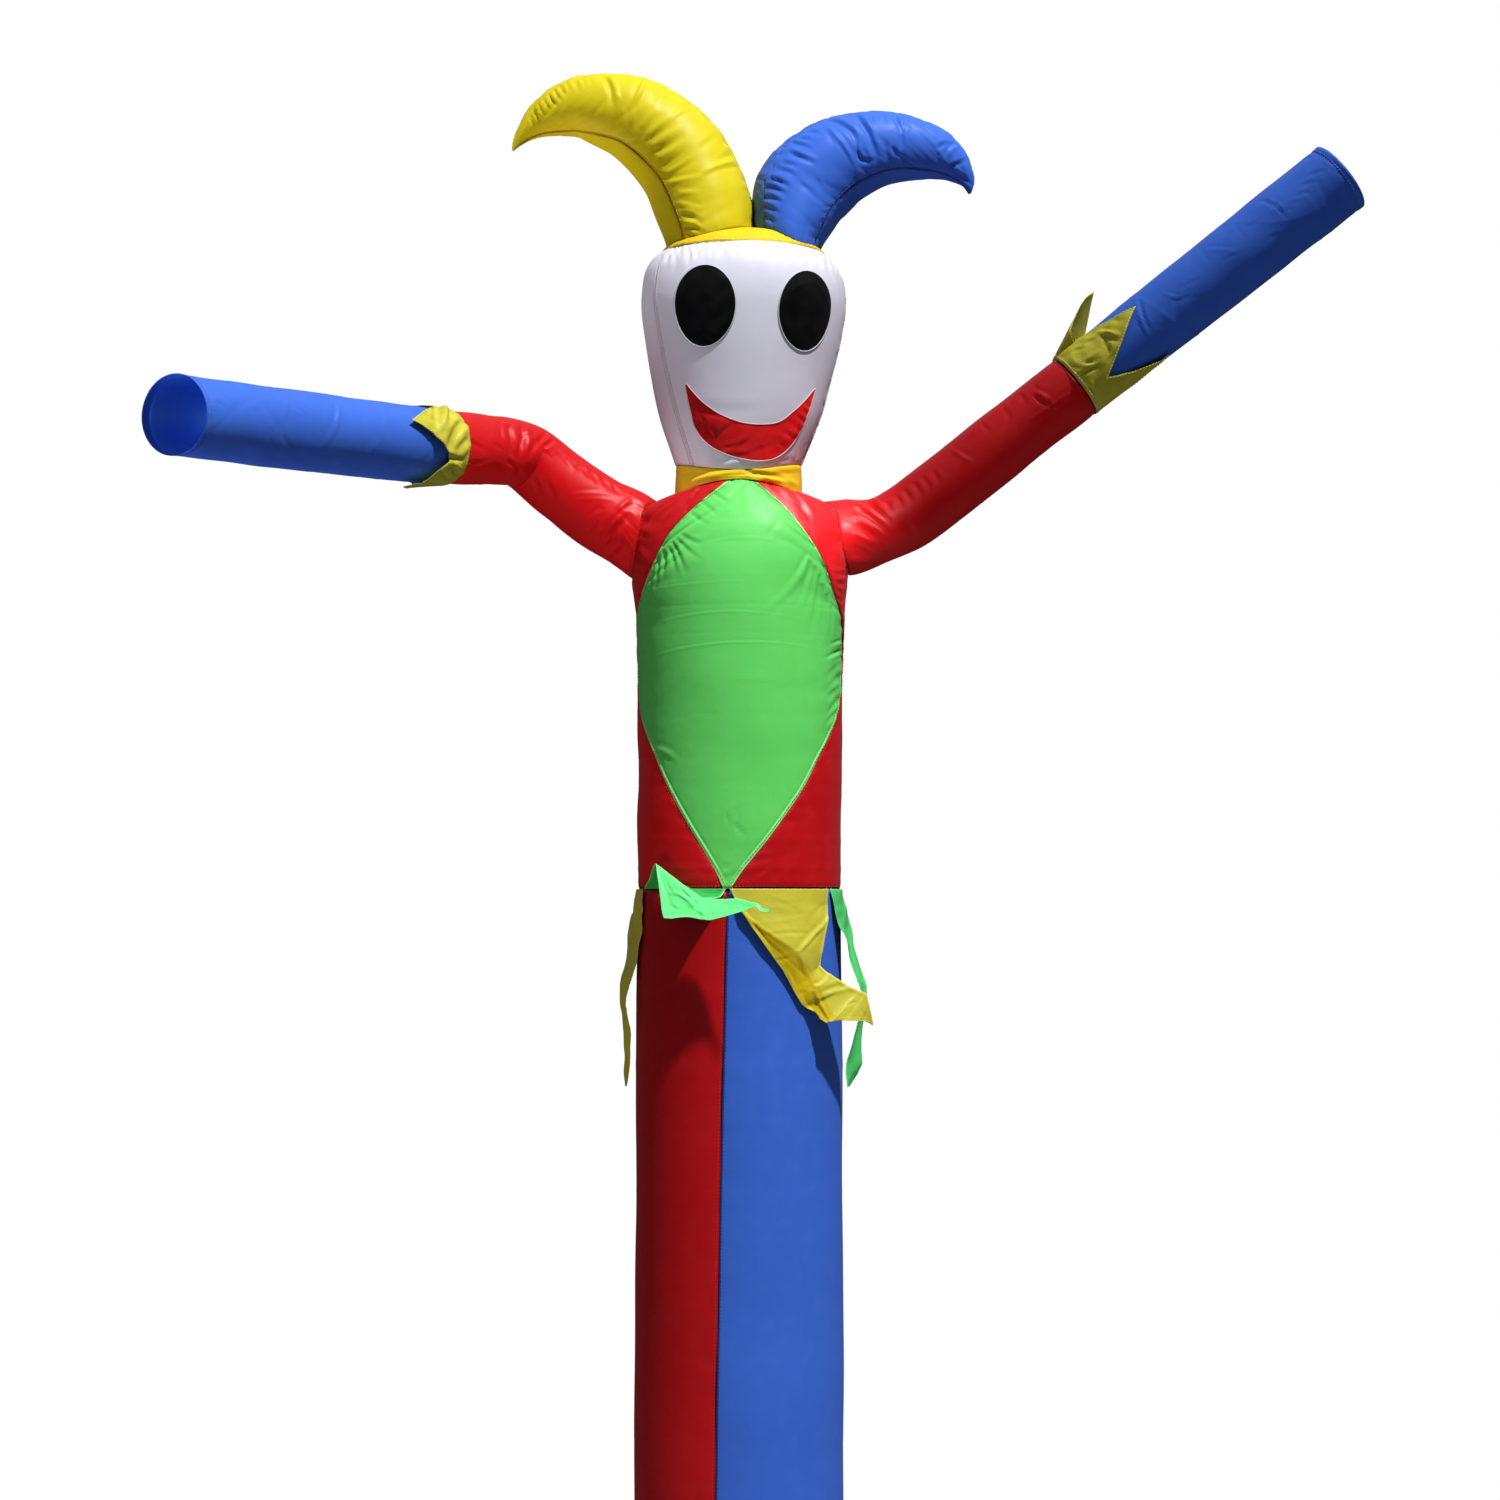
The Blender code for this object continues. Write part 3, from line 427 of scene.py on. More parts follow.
# Folds as they are seen from the front: x, height, x, height, bow, depth, half_width. Each is deepest near its
# first place and fades to its second; bow is how far it bends to its left; a depth under 0 stands up.
FOLDS = {
    "bib": [
        (-125, 2135, 147, 2138, 14, -0.24, 1.44), (-114, 2183, 114, 2178, 13, -0.21, 1.35),
        (-118, 2085, 141, 2088, 13, -0.21, 1.35), (-128, 2029, 31, 2043, 9, -0.21, 1.35),
        (-131, 2230, 29, 2238, 1, -0.12, 1.35), (-56, 1974, 85, 1971, 3, -0.1, 1.35),
        (97, 2276, 26, 2187, 10, -0.9, 3.2), (103, 2271, 60, 2208, 3, -0.7, 3),
        (107, 2262, 94, 2187, 1, 1.95, 3.23), (113, 2251, 104, 2157, 1, 2.3, 3.4),
        (118, 2238, 113, 2146, 1, 2.07, 3.06), (124, 2225, 121, 2158, 1, 1.61, 2.72),
        (101, 2270, 84, 2204, 2, 1.72, 3.23), (130, 2208, 130, 2160, 1, 1.15, 2.38),
        (94, 2280, 70, 2234, 2, 1.15, 2.89), (-98, 2298, -75, 2244, 2, 1.61, 2.55),
        (-102, 2291, -89, 2241, 2, 1.38, 2.55), (-109, 2286, -112, 2243, 2, 1.72, 2.72),
        (-118, 2278, -121, 2229, 1, 1.49, 2.55), (-92, 2302, -53, 2265, -1, 1.03, 2.55),
        (-85, 2307, -48, 2289, -2, 0.8, 3), (-125, 2266, -131, 2217, 0, 1.15, 2.55),
        (149, 2149, 120, 2131, 0, 1.38, 2.38), (149, 2129, 123, 2104, -1, 1.38, 2.38),
        (149, 2109, 120, 2087, -1, 1.38, 2.38), (147, 2096, 123, 2073, -1, 1.15, 2.21),
        (143, 2077, 121, 2050, 0, 1.49, 2.55), (138, 2058, 120, 2036, 0, 1.03, 2.38),
        (149, 2164, 127, 2151, 0, 0.92, 2.21), (-9, 1896, 14, 1875, -1, 1, 2.6),
        (-21, 1911, -19, 1889, 4, 0.6, 2.8), (0, 1917, 0, 1895, -3, 0.5, 2.8), (-124, 2005, -84, 1983, 3, -0.9, 3),
        (-121, 1992, -96, 1986, 3, 0.8, 2.55), (-25, 1816, 2, 1822, 3, 1.1, 2.6),
        (-30, 1830, -5, 1833, 3, 0.8, 2.6), (-57, 2357, -28, 2331, -1, 0.8, 3), (-40, 2371, -14, 2351, -2, 0.7, 3),
        (-71, 2339, -44, 2318, -1, 0.9, 3), (57, 2326, 40, 2296, -2, 0.5, 4),
        (-56, 2289, 71, 2289, 10, -0.12, 2.25),
    ],
    "torso": [
        (-81, 2363, -97, 2344, 18, 1.8, 3.6), (-71, 2358, -60, 2357, 13, 1.6, 3.4),
        (-64, 2362, -42, 2373, 9, 1.2, 3.2), (-91, 2361, -121, 2331, 2, 1.2, 4),
        (-124, 2374, -154, 2346, 1, 2, 4.2), (-133, 2361, -158, 2333, 2, 2, 4.2),
        (-144, 2367, -158, 2350, 1, 1.4, 3.2), (-149, 2320, -121, 2300, -3, 1.2, 5),
        (-154, 2285, -134, 2257, 1, 1.2, 4.2), (-155, 2305, -143, 2281, 1, 1, 3.4),
        (82, 2354, 104, 2326, 2, 2.2, 4.6), (155, 2316, 118, 2297, 9, 2, 4.4), (98, 2317, 121, 2275, -3, 1, 4),
        (153, 2351, 118, 2350, 1, 1, 3.8), (156, 2329, 123, 2323, 4, 1.2, 4), (72, 2371, 94, 2347, 3, 1.2, 3.2),
        (151, 2271, 127, 2266, 2, 1.3, 3.2), (152, 2258, 129, 2255, 1, 1.1, 3), (152, 2245, 132, 2244, 2, 1.3, 3.2),
        (152, 2233, 137, 2246, 9, 1, 3), (152, 2221, 140, 2233, 9, 1.1, 3), (152, 2207, 143, 2218, 7, 0.8, 2.8),
        (-146, 2012, -128, 1966, -2, 0.5, 5), (141, 2047, 120, 1980, 2, 0.5, 5),
        (-37, 1811, -14, 1813, 7, 0.6, 2.6), (40, 1836, 17, 1826, 4, 0.5, 3),
    ],
    "collar": [
        (-75, 2386, 10, 2399, 3, -2, 4), (29, 2391, 90, 2388, 0, -1.8, 3.6), (12, 2398, 72, 2386, 3, 1.6, 3),
        (7, 2402, 29, 2388, 3, 1, 3), (-90, 2402, -53, 2402, 1, 0.9, 3), (52, 2401, 92, 2411, -4, 0.9, 3),
        (44, 2399, 85, 2376, 3, 1, 3),
    ],
    "face_white": [
        (-105, 2723, -107, 2701, 2, 1.2, 2.8), (-96, 2726, -97, 2700, 2, 1.4, 2.8),
        (-88, 2727, -87, 2705, 2, 1.3, 2.8), (-77, 2726, -72, 2691, 1, 1.9, 3), (-66, 2724, -59, 2694, 1, 1.7, 3),
        (-55, 2724, -51, 2693, 1, 1.8, 3), (-45, 2723, -39, 2699, 0, 1.5, 2.8), (-27, 2721, -17, 2680, 1, 1.2, 2.8),
        (-10, 2719, -7, 2700, 0, 0.9, 2.6), (49, 2713, 46, 2682, 0, 1.1, 2.8), (63, 2713, 73, 2672, 0, 1, 2.8),
        (80, 2714, 84, 2693, 1, 0.9, 2.6), (98, 2712, 103, 2687, 0, 1, 2.8), (111, 2711, 119, 2688, 0, 1.2, 2.8),
        (124, 2707, 137, 2678, 1, 1.2, 2.8), (-34, 2412, 29, 2412, 8, 1.1, 4), (-21, 2402, 43, 2408, 4, 1, 4),
        (-72, 2416, -40, 2410, 4, 0.7, 3.4), (50, 2410, 84, 2421, 4, 0.8, 3.4), (-71, 2495, 72, 2496, -13, 0.3, 8),
        (-71, 2571, -52, 2555, -3, 0.35, 5),
    ],
    "mouth_red": [
        (108, 2504, 91, 2511, -2, 0.6, 2.4), (105, 2492, 85, 2501, -2, 0.66, 2.4),
        (102, 2480, 79, 2493, -2, 0.72, 2.6), (98, 2469, 72, 2485, -1, 0.72, 2.6),
        (91, 2457, 63, 2472, -1, 0.66, 2.6), (82, 2445, 53, 2459, -2, 0.66, 2.6),
        (69, 2432, 40, 2447, -2, 0.6, 2.8), (-34, 2442, -5, 2465, 5, 0.66, 3), (-14, 2425, 22, 2456, -4, 0.72, 3),
        (-25, 2431, 12, 2443, -2, 0.54, 2.8), (-57, 2480, -53, 2450, 4, 0.42, 3),
        (-40, 2461, -34, 2436, 4, 0.42, 3), (3, 2418, 40, 2436, 0, 0.48, 2.8),
    ],
    "sleeve_left": [
        (-331, 2466, -314, 2388, 2, 2.6, 4), (-304, 2455, -313, 2410, -1, 2.4, 3.5),
        (-268, 2449, -290, 2433, 0, 1.8, 3), (-312, 2474, -313, 2400, 3, 2.6, 3.4),
        (-339, 2477, -330, 2414, -3, 1.4, 3.6), (-329, 2412, -314, 2401, -1, 1.6, 3.2),
        (-276, 2465, -311, 2409, 0, 2, 3.8), (-286, 2434, -268, 2418, 2, 1, 2.8),
        (-345, 2431, -335, 2422, 1, 0.9, 2.6), (-340, 2401, -328, 2395, 0, 0.9, 2.6),
        (-325, 2433, -319, 2401, -1, 1.2, 3), (-299, 2461, -298, 2427, 3, 1, 3.2),
        (-265, 2432, -240, 2403, 3, 1, 3), (-250, 2424, -226, 2398, 3, 1, 3), (-235, 2416, -212, 2391, 2, 1.1, 3),
        (-219, 2408, -199, 2384, 1, 1, 3), (-202, 2399, -183, 2376, 1, 1, 3), (-186, 2389, -172, 2370, 1, 1, 2.8),
        (-244, 2370, -159, 2369, 3, -0.8, 2.8), (-239, 2363, -164, 2361, 3, -0.7, 2.8),
        (-157, 2366, -197, 2324, -1, -2.4, 4.2), (-163, 2352, -204, 2303, 0, -2.4, 4.2),
        (-158, 2360, -199, 2316, -1, 1.6, 3.2), (-167, 2334, -198, 2296, -1, 1.8, 3.6),
        (-170, 2317, -203, 2292, 1, -1.4, 3.6), (-170, 2299, -199, 2281, 0, 1.2, 3.4),
        (-204, 2334, -227, 2316, 2, 1, 3.2), (-196, 2353, -222, 2336, -2, 0.9, 3),
        (-378, 2431, -354, 2422, -3, 0.8, 2.8), (-379, 2401, -352, 2411, -3, 0.7, 2.8),
        (-280, 2391, -265, 2356, 2, 0.8, 4.6), (-301, 2396, -288, 2367, 3, 0.9, 4.4),
    ],
    "sleeve_right": [
        (159, 2363, 221, 2314, 7, -2.4, 4.4), (163, 2347, 221, 2306, -1, -2.2, 4.2),
        (161, 2317, 217, 2290, 0, -2, 4), (166, 2356, 219, 2311, 2, 1.8, 3.2), (163, 2332, 214, 2299, 0, 1.8, 3.4),
        (183, 2369, 222, 2322, 0, 2.2, 4), (161, 2299, 197, 2280, -1, 1.4, 3.6),
        (159, 2284, 186, 2272, -2, -1.1, 3.4), (166, 2319, 174, 2298, -1, 0.8, 2.6),
        (186, 2302, 198, 2287, -1, 0.8, 2.6), (210, 2364, 221, 2341, 1, 1.1, 3), (223, 2373, 236, 2348, 2, 1.1, 3),
        (236, 2383, 249, 2357, 1, 1, 3), (249, 2392, 262, 2367, 2, 1, 3), (263, 2401, 275, 2377, 1, 0.9, 2.8),
        (278, 2409, 288, 2387, 1, 0.9, 2.8), (306, 2442, 339, 2418, -3, -1, 2.8),
        (351, 2479, 362, 2462, -1, 0.8, 2.6), (427, 2533, 436, 2520, -1, 0.9, 2.6),
        (424, 2518, 455, 2498, -3, 1.3, 2.8), (428, 2524, 452, 2508, -1, -1, 2.6),
        (453, 2498, 458, 2511, -2, 0.9, 2.4), (419, 2480, 488, 2528, 0, -0.5, 2.4),
        (238, 2335, 254, 2302, 2, 1, 4.6), (378, 2507, 390, 2479, 1, 0.7, 3), (404, 2524, 413, 2500, 1, 0.7, 3),
    ],
    "forearm_left": [
        (-538, 2455, -555, 2388, 8, -1, 2.24), (-541, 2453, -559, 2391, 6, 0.8, 2.24),
        (-572, 2461, -545, 2425, 13, -0.8, 2.1), (-566, 2461, -551, 2450, 2, 0.8, 2.1),
        (-600, 2452, -599, 2414, 6, -0.65, 1.96), (-603, 2407, -598, 2390, 0, -0.35, 1.96),
        (-672, 2461, -649, 2446, 2, 0.6, 1.96), (-672, 2452, -658, 2445, -1, 0.45, 1.82),
        (-621, 2461, -605, 2449, 1, 0.5, 1.82), (-599, 2461, -580, 2451, 0, 0.55, 1.96),
        (-585, 2461, -567, 2451, 1, 0.55, 1.96), (-539, 2466, -521, 2457, 0, 0.4, 1.96),
        (-505, 2467, -486, 2457, 1, 0.55, 1.82), (-496, 2470, -482, 2460, -1, 0.4, 1.68),
        (-666, 2441, -664, 2415, 14, -0.5, 1.82), (-670, 2425, -658, 2417, 1, 0.45, 1.68),
        (-584, 2443, -569, 2423, -2, 0.4, 1.82), (-582, 2426, -571, 2422, 0, 0.3, 1.68),
        (-490, 2411, -512, 2384, 3, -0.5, 1.82), (-446, 2412, -464, 2389, 2, -0.45, 1.82),
        (-488, 2467, -482, 2430, 3, -0.35, 1.82), (-631, 2424, -616, 2426, -4, 0.25, 2.1),
        (-642, 2449, -631, 2430, 2, 0.25, 2.38), (-469, 2476, -452, 2458, -2, 0.35, 1.96),
        (-642, 2382, -652, 2356, 6, 0.25, 3.5), (-548, 2383, -550, 2364, 5, 0.25, 3.5),
        (-683, 2448, -674, 2414, 4, 0.3, 2.8), (-609, 2403, -613, 2381, -3, 0.3, 2.38),
    ],
    "forearm_right": [
        (576, 2666, 594, 2600, -7, -1, 2.1), (580, 2659, 597, 2604, -5, 0.8, 2.1),
        (575, 2629, 588, 2601, -3, 0.6, 1.82), (612, 2666, 645, 2657, -3, -0.6, 1.82),
        (622, 2656, 653, 2662, -3, 0.5, 1.68), (677, 2728, 726, 2721, 3, -0.55, 1.82),
        (675, 2735, 699, 2732, 3, 0.35, 1.82), (756, 2805, 793, 2768, 4, 0.9, 1.96),
        (770, 2783, 798, 2802, 0, -0.6, 1.82), (786, 2782, 804, 2788, 2, 0.45, 1.68),
        (750, 2800, 768, 2797, 3, 0.4, 1.68), (731, 2760, 756, 2775, -2, 0.35, 2.1),
        (805, 2805, 829, 2809, 4, 0.55, 2.1), (811, 2819, 843, 2824, 5, 0.55, 2.1),
        (821, 2834, 856, 2841, 5, 0.55, 2.1), (796, 2791, 819, 2796, 4, 0.45, 1.96),
        (819, 2860, 843, 2867, 6, 0.75, 2.1), (835, 2884, 847, 2859, -1, 0.7, 2.1),
        (860, 2863, 870, 2842, -1, 0.55, 1.96), (849, 2851, 873, 2837, -2, 0.45, 1.96),
        (697, 2710, 729, 2724, 2, 0.35, 2.1), (636, 2669, 668, 2685, 3, 0.35, 2.24),
        (759, 2742, 792, 2749, 3, 0.25, 2.8), (537, 2572, 584, 2603, 0, -0.25, 1.68),
        (669, 2739, 684, 2709, -5, 0.3, 2.38), (720, 2772, 736, 2743, -5, 0.3, 2.38),
    ],
    "cuff_left": [
        (-424, 2476, -420, 2434, 2, 3.0, 4.5), (-413, 2478, -412, 2432, 1, -2.2, 4.5),
        (-387, 2458, -405, 2408, -1, 3.0, 4.5), (-398, 2458, -411, 2412, -1, -2.2, 4.5),
        (-380, 2432, -398, 2404, 0, 1.8, 4), (-409, 2404, -383, 2404, -3, 2.4, 3.5),
        (-403, 2392, -391, 2377, 1, 1.6, 3.5), (-438, 2370, -413, 2392, 1, -2.0, 3.5),
        (-409, 2471, -398, 2438, 3, 1.3, 3.5), (-435, 2460, -414, 2446, -2, 1.4, 3.5),
        (-416, 2384, -410, 2371, 3, 1.4, 3.5), (-468, 2371, -430, 2367, 0, -3.0, 3.5),
    ],
    "cuff_right": [
        (492, 2559, 538, 2577, -8, -1.6, 2.6), (486, 2539, 540, 2573, 0, 1.9, 2.8),
        (475, 2570, 497, 2557, -6, 0.9, 2.8), (482, 2534, 534, 2567, 0, -1.2, 2.4),
        (497, 2564, 521, 2580, 1, -0.7, 2.8), (519, 2609, 553, 2600, 1, -1.8, 3),
        (524, 2602, 550, 2594, 0, 1.6, 2.8), (525, 2594, 533, 2574, 3, 0.9, 2.8),
        (502, 2591, 518, 2596, 3, 0.7, 2.6), (498, 2531, 517, 2517, 2, 0.8, 2.6),
        (482, 2580, 507, 2581, 3, 0.6, 2.6), (538, 2634, 557, 2626, -5, 0.8, 2.6),
        (512, 2674, 526, 2658, 1, 1, 2.6), (502, 2625, 524, 2636, 4, 0.8, 2.6),
    ],
    "horn_yellow": [
        (-199, 2986, -190, 2921, 8, 2.8, 4), (-180, 2958, -171, 2942, -1, -0.9, 2.6),
        (-140, 2983, -157, 2935, 3, -2.8, 3.4), (-144, 2986, -162, 2936, 3, 2, 3.6),
        (-184, 2938, -188, 2915, -1, -1.2, 3), (-166, 2933, -174, 2909, 0, -1.3, 3.2),
        (-153, 2929, -162, 2902, 1, -1.2, 3.2), (-64, 2953, -87, 2929, 0, 2.2, 3.2),
        (-70, 2946, -104, 2912, 1, -1.2, 3.2), (-10, 2897, -30, 2876, -2, 1.8, 3),
        (-16, 2904, -32, 2887, 1, 1, 2.6), (-9, 2872, -32, 2854, 0, 1.8, 3), (-3, 2860, -63, 2828, -1, -1.7, 3.2),
        (7, 2839, -1, 2829, 1, 0.9, 2.4), (12, 2821, 1, 2814, 1, 0.9, 2.4), (-116, 2965, -130, 2939, 2, 0.8, 3.2),
        (-102, 2958, -120, 2930, 2, 0.7, 3.2), (-108, 2835, -60, 2868, -4, -1.5, 3.6),
        (-104, 2821, -49, 2828, 0, -1.2, 3.4), (-117, 2858, -72, 2888, -2, -1.5, 3.6),
        (-127, 2876, -82, 2906, 0, -1.4, 3.6), (-136, 2891, -98, 2926, -1, -1.4, 3.6),
        (-144, 2902, -119, 2936, 0, -1.2, 3.4), (-123, 2867, -78, 2895, -1, 1.2, 3.2),
        (-131, 2883, -91, 2915, 0, 1.2, 3.2), (-113, 2846, -69, 2875, -2, 1.2, 3.2),
        (-91, 2806, -52, 2802, 0, -0.9, 3.2), (-88, 2789, -51, 2778, 0, -0.9, 3.2),
        (-86, 2775, -54, 2759, 2, 1.5, 3), (-83, 2756, -49, 2741, 2, 1.6, 3), (-83, 2763, -53, 2751, 2, -1.2, 2.8),
        (-80, 2746, -57, 2733, 1, 1.2, 2.8), (-58, 2871, -26, 2903, -1, 0.6, 4),
        (-302, 2944, -290, 2921, -2, 2.2, 2.8), (-295, 2951, -283, 2929, -2, 1.6, 2.6),
        (-307, 2936, -298, 2916, -2, 1.4, 2.6), (-280, 2964, -265, 2940, -2, 2.3, 2.8),
        (-273, 2970, -259, 2945, 0, 1.8, 2.6), (-264, 2975, -251, 2955, -1, 2, 2.6),
        (-254, 2980, -245, 2959, -1, 1.3, 2.6), (-240, 2982, -234, 2959, 0, 1.4, 2.8),
        (-229, 2985, -225, 2965, 0, 0.8, 2.6), (-287, 2958, -277, 2935, -1, 1.5, 2.6),
        (-221, 2985, -215, 2965, 1, 0.7, 2.6), (-163, 2986, -165, 2970, 1, 0.8, 2.4),
    ],
    "horn_blue": [
        (125, 2923, 171, 2871, 10, 2.6, 3.6), (169, 2875, 195, 2859, -11, 2.4, 3.6),
        (166, 2930, 199, 2853, 5, 3.2, 3.8), (159, 2906, 172, 2885, 0, 1.6, 2.8),
        (130, 2905, 172, 2839, 2, -1.6, 3), (142, 2882, 159, 2853, 1, 1, 2.8), (224, 2927, 235, 2892, 2, 2.2, 3),
        (240, 2922, 235, 2897, 1, 1.6, 2.6), (235, 2897, 233, 2871, 1, 1.6, 3), (178, 2874, 187, 2849, 0, 1, 3.6),
        (210, 2882, 213, 2857, 1, 1.2, 3.6), (222, 2877, 225, 2857, 1, 0.9, 3.4),
        (243, 2922, 251, 2907, -1, 1, 2.6), (208, 2928, 216, 2913, -2, 1, 2.6), (286, 2878, 312, 2892, 2, 1.5, 2.8),
        (316, 2891, 297, 2863, -5, 1.8, 2.8), (304, 2853, 335, 2870, -1, 1.7, 2.8),
        (310, 2850, 334, 2838, 0, 1.2, 2.6), (321, 2840, 343, 2824, 0, -1.1, 2.4),
        (291, 2874, 291, 2857, -3, 0.8, 2.6), (189, 2928, 197, 2908, -2, 0.9, 2.6),
        (75, 2885, 105, 2871, 0, 1.8, 3), (71, 2868, 111, 2848, -1, 2.6, 3.4), (62, 2851, 85, 2844, 0, 1.5, 2.8),
        (54, 2842, 82, 2828, 2, 1.8, 3), (45, 2829, 73, 2812, 1, 2.2, 3), (41, 2819, 68, 2800, 1, 1.6, 2.8),
        (36, 2805, 63, 2788, 1, 1.9, 3), (33, 2793, 59, 2773, 0, 1.6, 2.8), (30, 2783, 53, 2760, -1, 2, 3),
        (29, 2769, 49, 2748, -1, 1.8, 2.8), (86, 2889, 104, 2885, 2, 1.5, 2.8), (99, 2903, 117, 2892, 2, 1.2, 2.8),
        (86, 2819, 111, 2797, 2, 0.7, 3.2), (110, 2827, 115, 2809, 2, 0.6, 3), (119, 2906, 136, 2876, 3, 0.8, 3.4),
        (64, 2875, 47, 2879, -5, 1.3, 2.8), (45, 2846, 26, 2849, -3, 1.4, 2.8), (39, 2830, 20, 2835, -3, 1.3, 2.8),
        (33, 2817, 17, 2819, -4, 1.3, 2.8), (30, 2801, 20, 2804, 0, 1.2, 2.6), (28, 2787, 22, 2786, 0, 1.1, 2.6),
    ],
    "pennant_green_front": [
        (-102, 1799, -61, 1770, 8, -0.8, 2.72), (-55, 1771, -51, 1759, 0, 0.6, 2.24),
        (-40, 1771, -29, 1769, -3, 0.5, 2.24), (-105, 1823, -98, 1799, 0, 0.4, 2.72),
        (-100, 1781, -75, 1774, -2, 0.4, 2.72), (-27, 1784, 6, 1783, -3, 0.4, 2.56),
        (-120, 1817, -128, 1802, 0, 0.4, 2.4),
    ],
    "pennant_yellow_front": [
        (2, 1769, 75, 1715, 0, -0.9, 2.56), (75, 1715, 124, 1764, 0, -0.9, 2.4), (80, 1713, 125, 1757, 0, 0.6, 2.4),
        (34, 1738, 109, 1740, 3, 0.5, 2.4), (75, 1714, 99, 1665, 0, -1, 2.4), (98, 1666, 126, 1680, -4, -0.7, 2.4),
        (106, 1650, 168, 1664, 3, -1, 2.56), (110, 1658, 162, 1670, 3, 0.7, 2.56),
        (99, 1665, 120, 1623, 0, -0.8, 2.24), (67, 1689, 76, 1662, -1, -0.5, 2.08),
        (48, 1703, 73, 1711, -1, 0.5, 2.08), (81, 1655, 96, 1659, 2, 0.5, 2.08),
        (105, 1691, 120, 1663, 4, 0.6, 2.4), (144, 1638, 168, 1642, 4, 0.45, 2.4),
        (43, 1788, 85, 1767, 4, 0.35, 3.2), (93, 1792, 89, 1771, -5, 0.3, 2.88),
        (17, 1784, 34, 1763, 3, 0.35, 2.88), (170, 1635, 179, 1617, 0, 0.45, 2.08),
    ],
}


# ---------------------------------------------------------------- shapes of the blown-up figure


def rows_at(table, station, knots=None):
    """The rows of a table at stations between its rows, on smooth curves through all of them."""
    table = np.asarray(table, float)
    last = len(table) - 1
    knots = np.arange(last + 1.0) if knots is None else np.asarray(knots, float)
    station = np.clip(np.asarray(station, float), knots[0], knots[-1])
    low = np.clip(np.searchsorted(knots, station, side="right") - 1, 0, last - 1)
    span = (knots[low + 1] - knots[low])[..., None]
    t = (station - knots[low])[..., None] / span
    before, after = np.maximum(np.arange(last + 1) - 1, 0), np.minimum(np.arange(last + 1) + 1, last)
    slope = (table[after] - table[before]) / (knots[after] - knots[before])[:, None]
    return (
        (2 * t**3 - 3 * t**2 + 1) * table[low]
        + (t**3 - 2 * t**2 + t) * span * slope[low]
        + (3 * t**2 - 2 * t**3) * table[low + 1]
        + (t**3 - t**2) * span * slope[low + 1]
    )


def fields(rows, count):
    """The first values of rows from a table, each on its own."""
    return (rows[..., i] for i in range(count))


def unit(vectors):
    return vectors / np.maximum(np.linalg.norm(vectors, axis=-1, keepdims=True), 1e-9)


def lengths(line):
    """How far along a line of points each of them is."""
    return np.concatenate([[0], np.cumsum(np.linalg.norm(np.diff(line, axis=0), axis=1))])


def closer(count, ends=0.5):
    """Shares from 0 to 1, closer together towards both ends, where the seams are."""
    t = np.linspace(0, 1, count + 1)
    return t - ends * np.sin(2 * np.pi * t) / (2 * np.pi)


def body(table, station, angle):
    """Points on a body whose level sections are ellipses."""
    height, centre, width, depth, lift = fields(rows_at(table, station), 5)
    a = np.radians(angle)
    return place(centre + width * np.sin(a), depth * np.cos(a), height + lift * np.cos(a) ** 2)


def body_grid(table, edges, pitch, columns, ends=0.5):
    """A grid of points of a body between two seams, whose angles edges(row) gives, evenly spaced upwards."""
    fine = np.linspace(0, len(table) - 1, 600)
    row = rows_at(table, fine)
    far = lengths(np.stack([(row[:, 2] + row[:, 3]) / 2, row[:, 0]], -1))
    station = np.interp(np.linspace(0, far[-1], max(2, round(far[-1] / pitch)) + 1), far, fine)
    start, end = (np.asarray(edge)[..., None] for edge in edges(rows_at(table, station).T))
    angle = start + (end - start) * closer(columns, ends)
    return body(table, station[:, None] + 0 * angle, angle)


def ring_grid(table, pitch, columns):
    """The same all round the body."""
    return body_grid(table, lambda row: (row[0] * 0 - BACK_SEAM, row[0] * 0 + BACK_SEAM), pitch, columns, 0)[:, :-1]


def station_at(table, height):
    """The stations of a body table at heights."""
    fine = np.linspace(0, len(table) - 1, 4000)
    return np.interp(height, rows_at(table, fine)[:, 0], fine)


def inside_body(table, points):
    """How far out points lie in a body: under 1 inside it, over 1 outside."""
    x, forward, height = points[..., 0] - AXIS[0], AXIS[1] - points[..., 1], points[..., 2]
    for _ in range(3):
        _, centre, width, depth, lift = fields(rows_at(table, station_at(table, height)), 5)
        across, deep = (x - centre) / width, forward / depth
        out = np.hypot(across, deep)
        height = points[..., 2] - lift * (deep / np.maximum(out, 1e-6)) ** 2
    top = table[-1][0]
    return np.where(height > top, 1 + (height - top) / 10, out)


def horn_surface(table, lean, station, angle):
    """Points on a horn that curves towards lean; angle 0 is on the inner side of its curve, 90 in front."""
    x, height, width, depth = fields(rows_at(table, station), 4)
    along = unit((rows_at(table, station + 0.05) - rows_at(table, station - 0.05))[..., :2])
    inner = place(along[..., 1] * lean, 0, -along[..., 0] * lean) - AXIS
    a = np.radians(angle)
    side, front = (width * np.cos(a))[..., None], (depth * np.sin(a))[..., None]
    return place(x, 0, height) + inner * side + np.array([0, -1, 0]) * front


def arm_knots(table):
    """The distance along an arm's middle line of each row of its table."""
    return lengths(np.array(table, float)[:, :3])


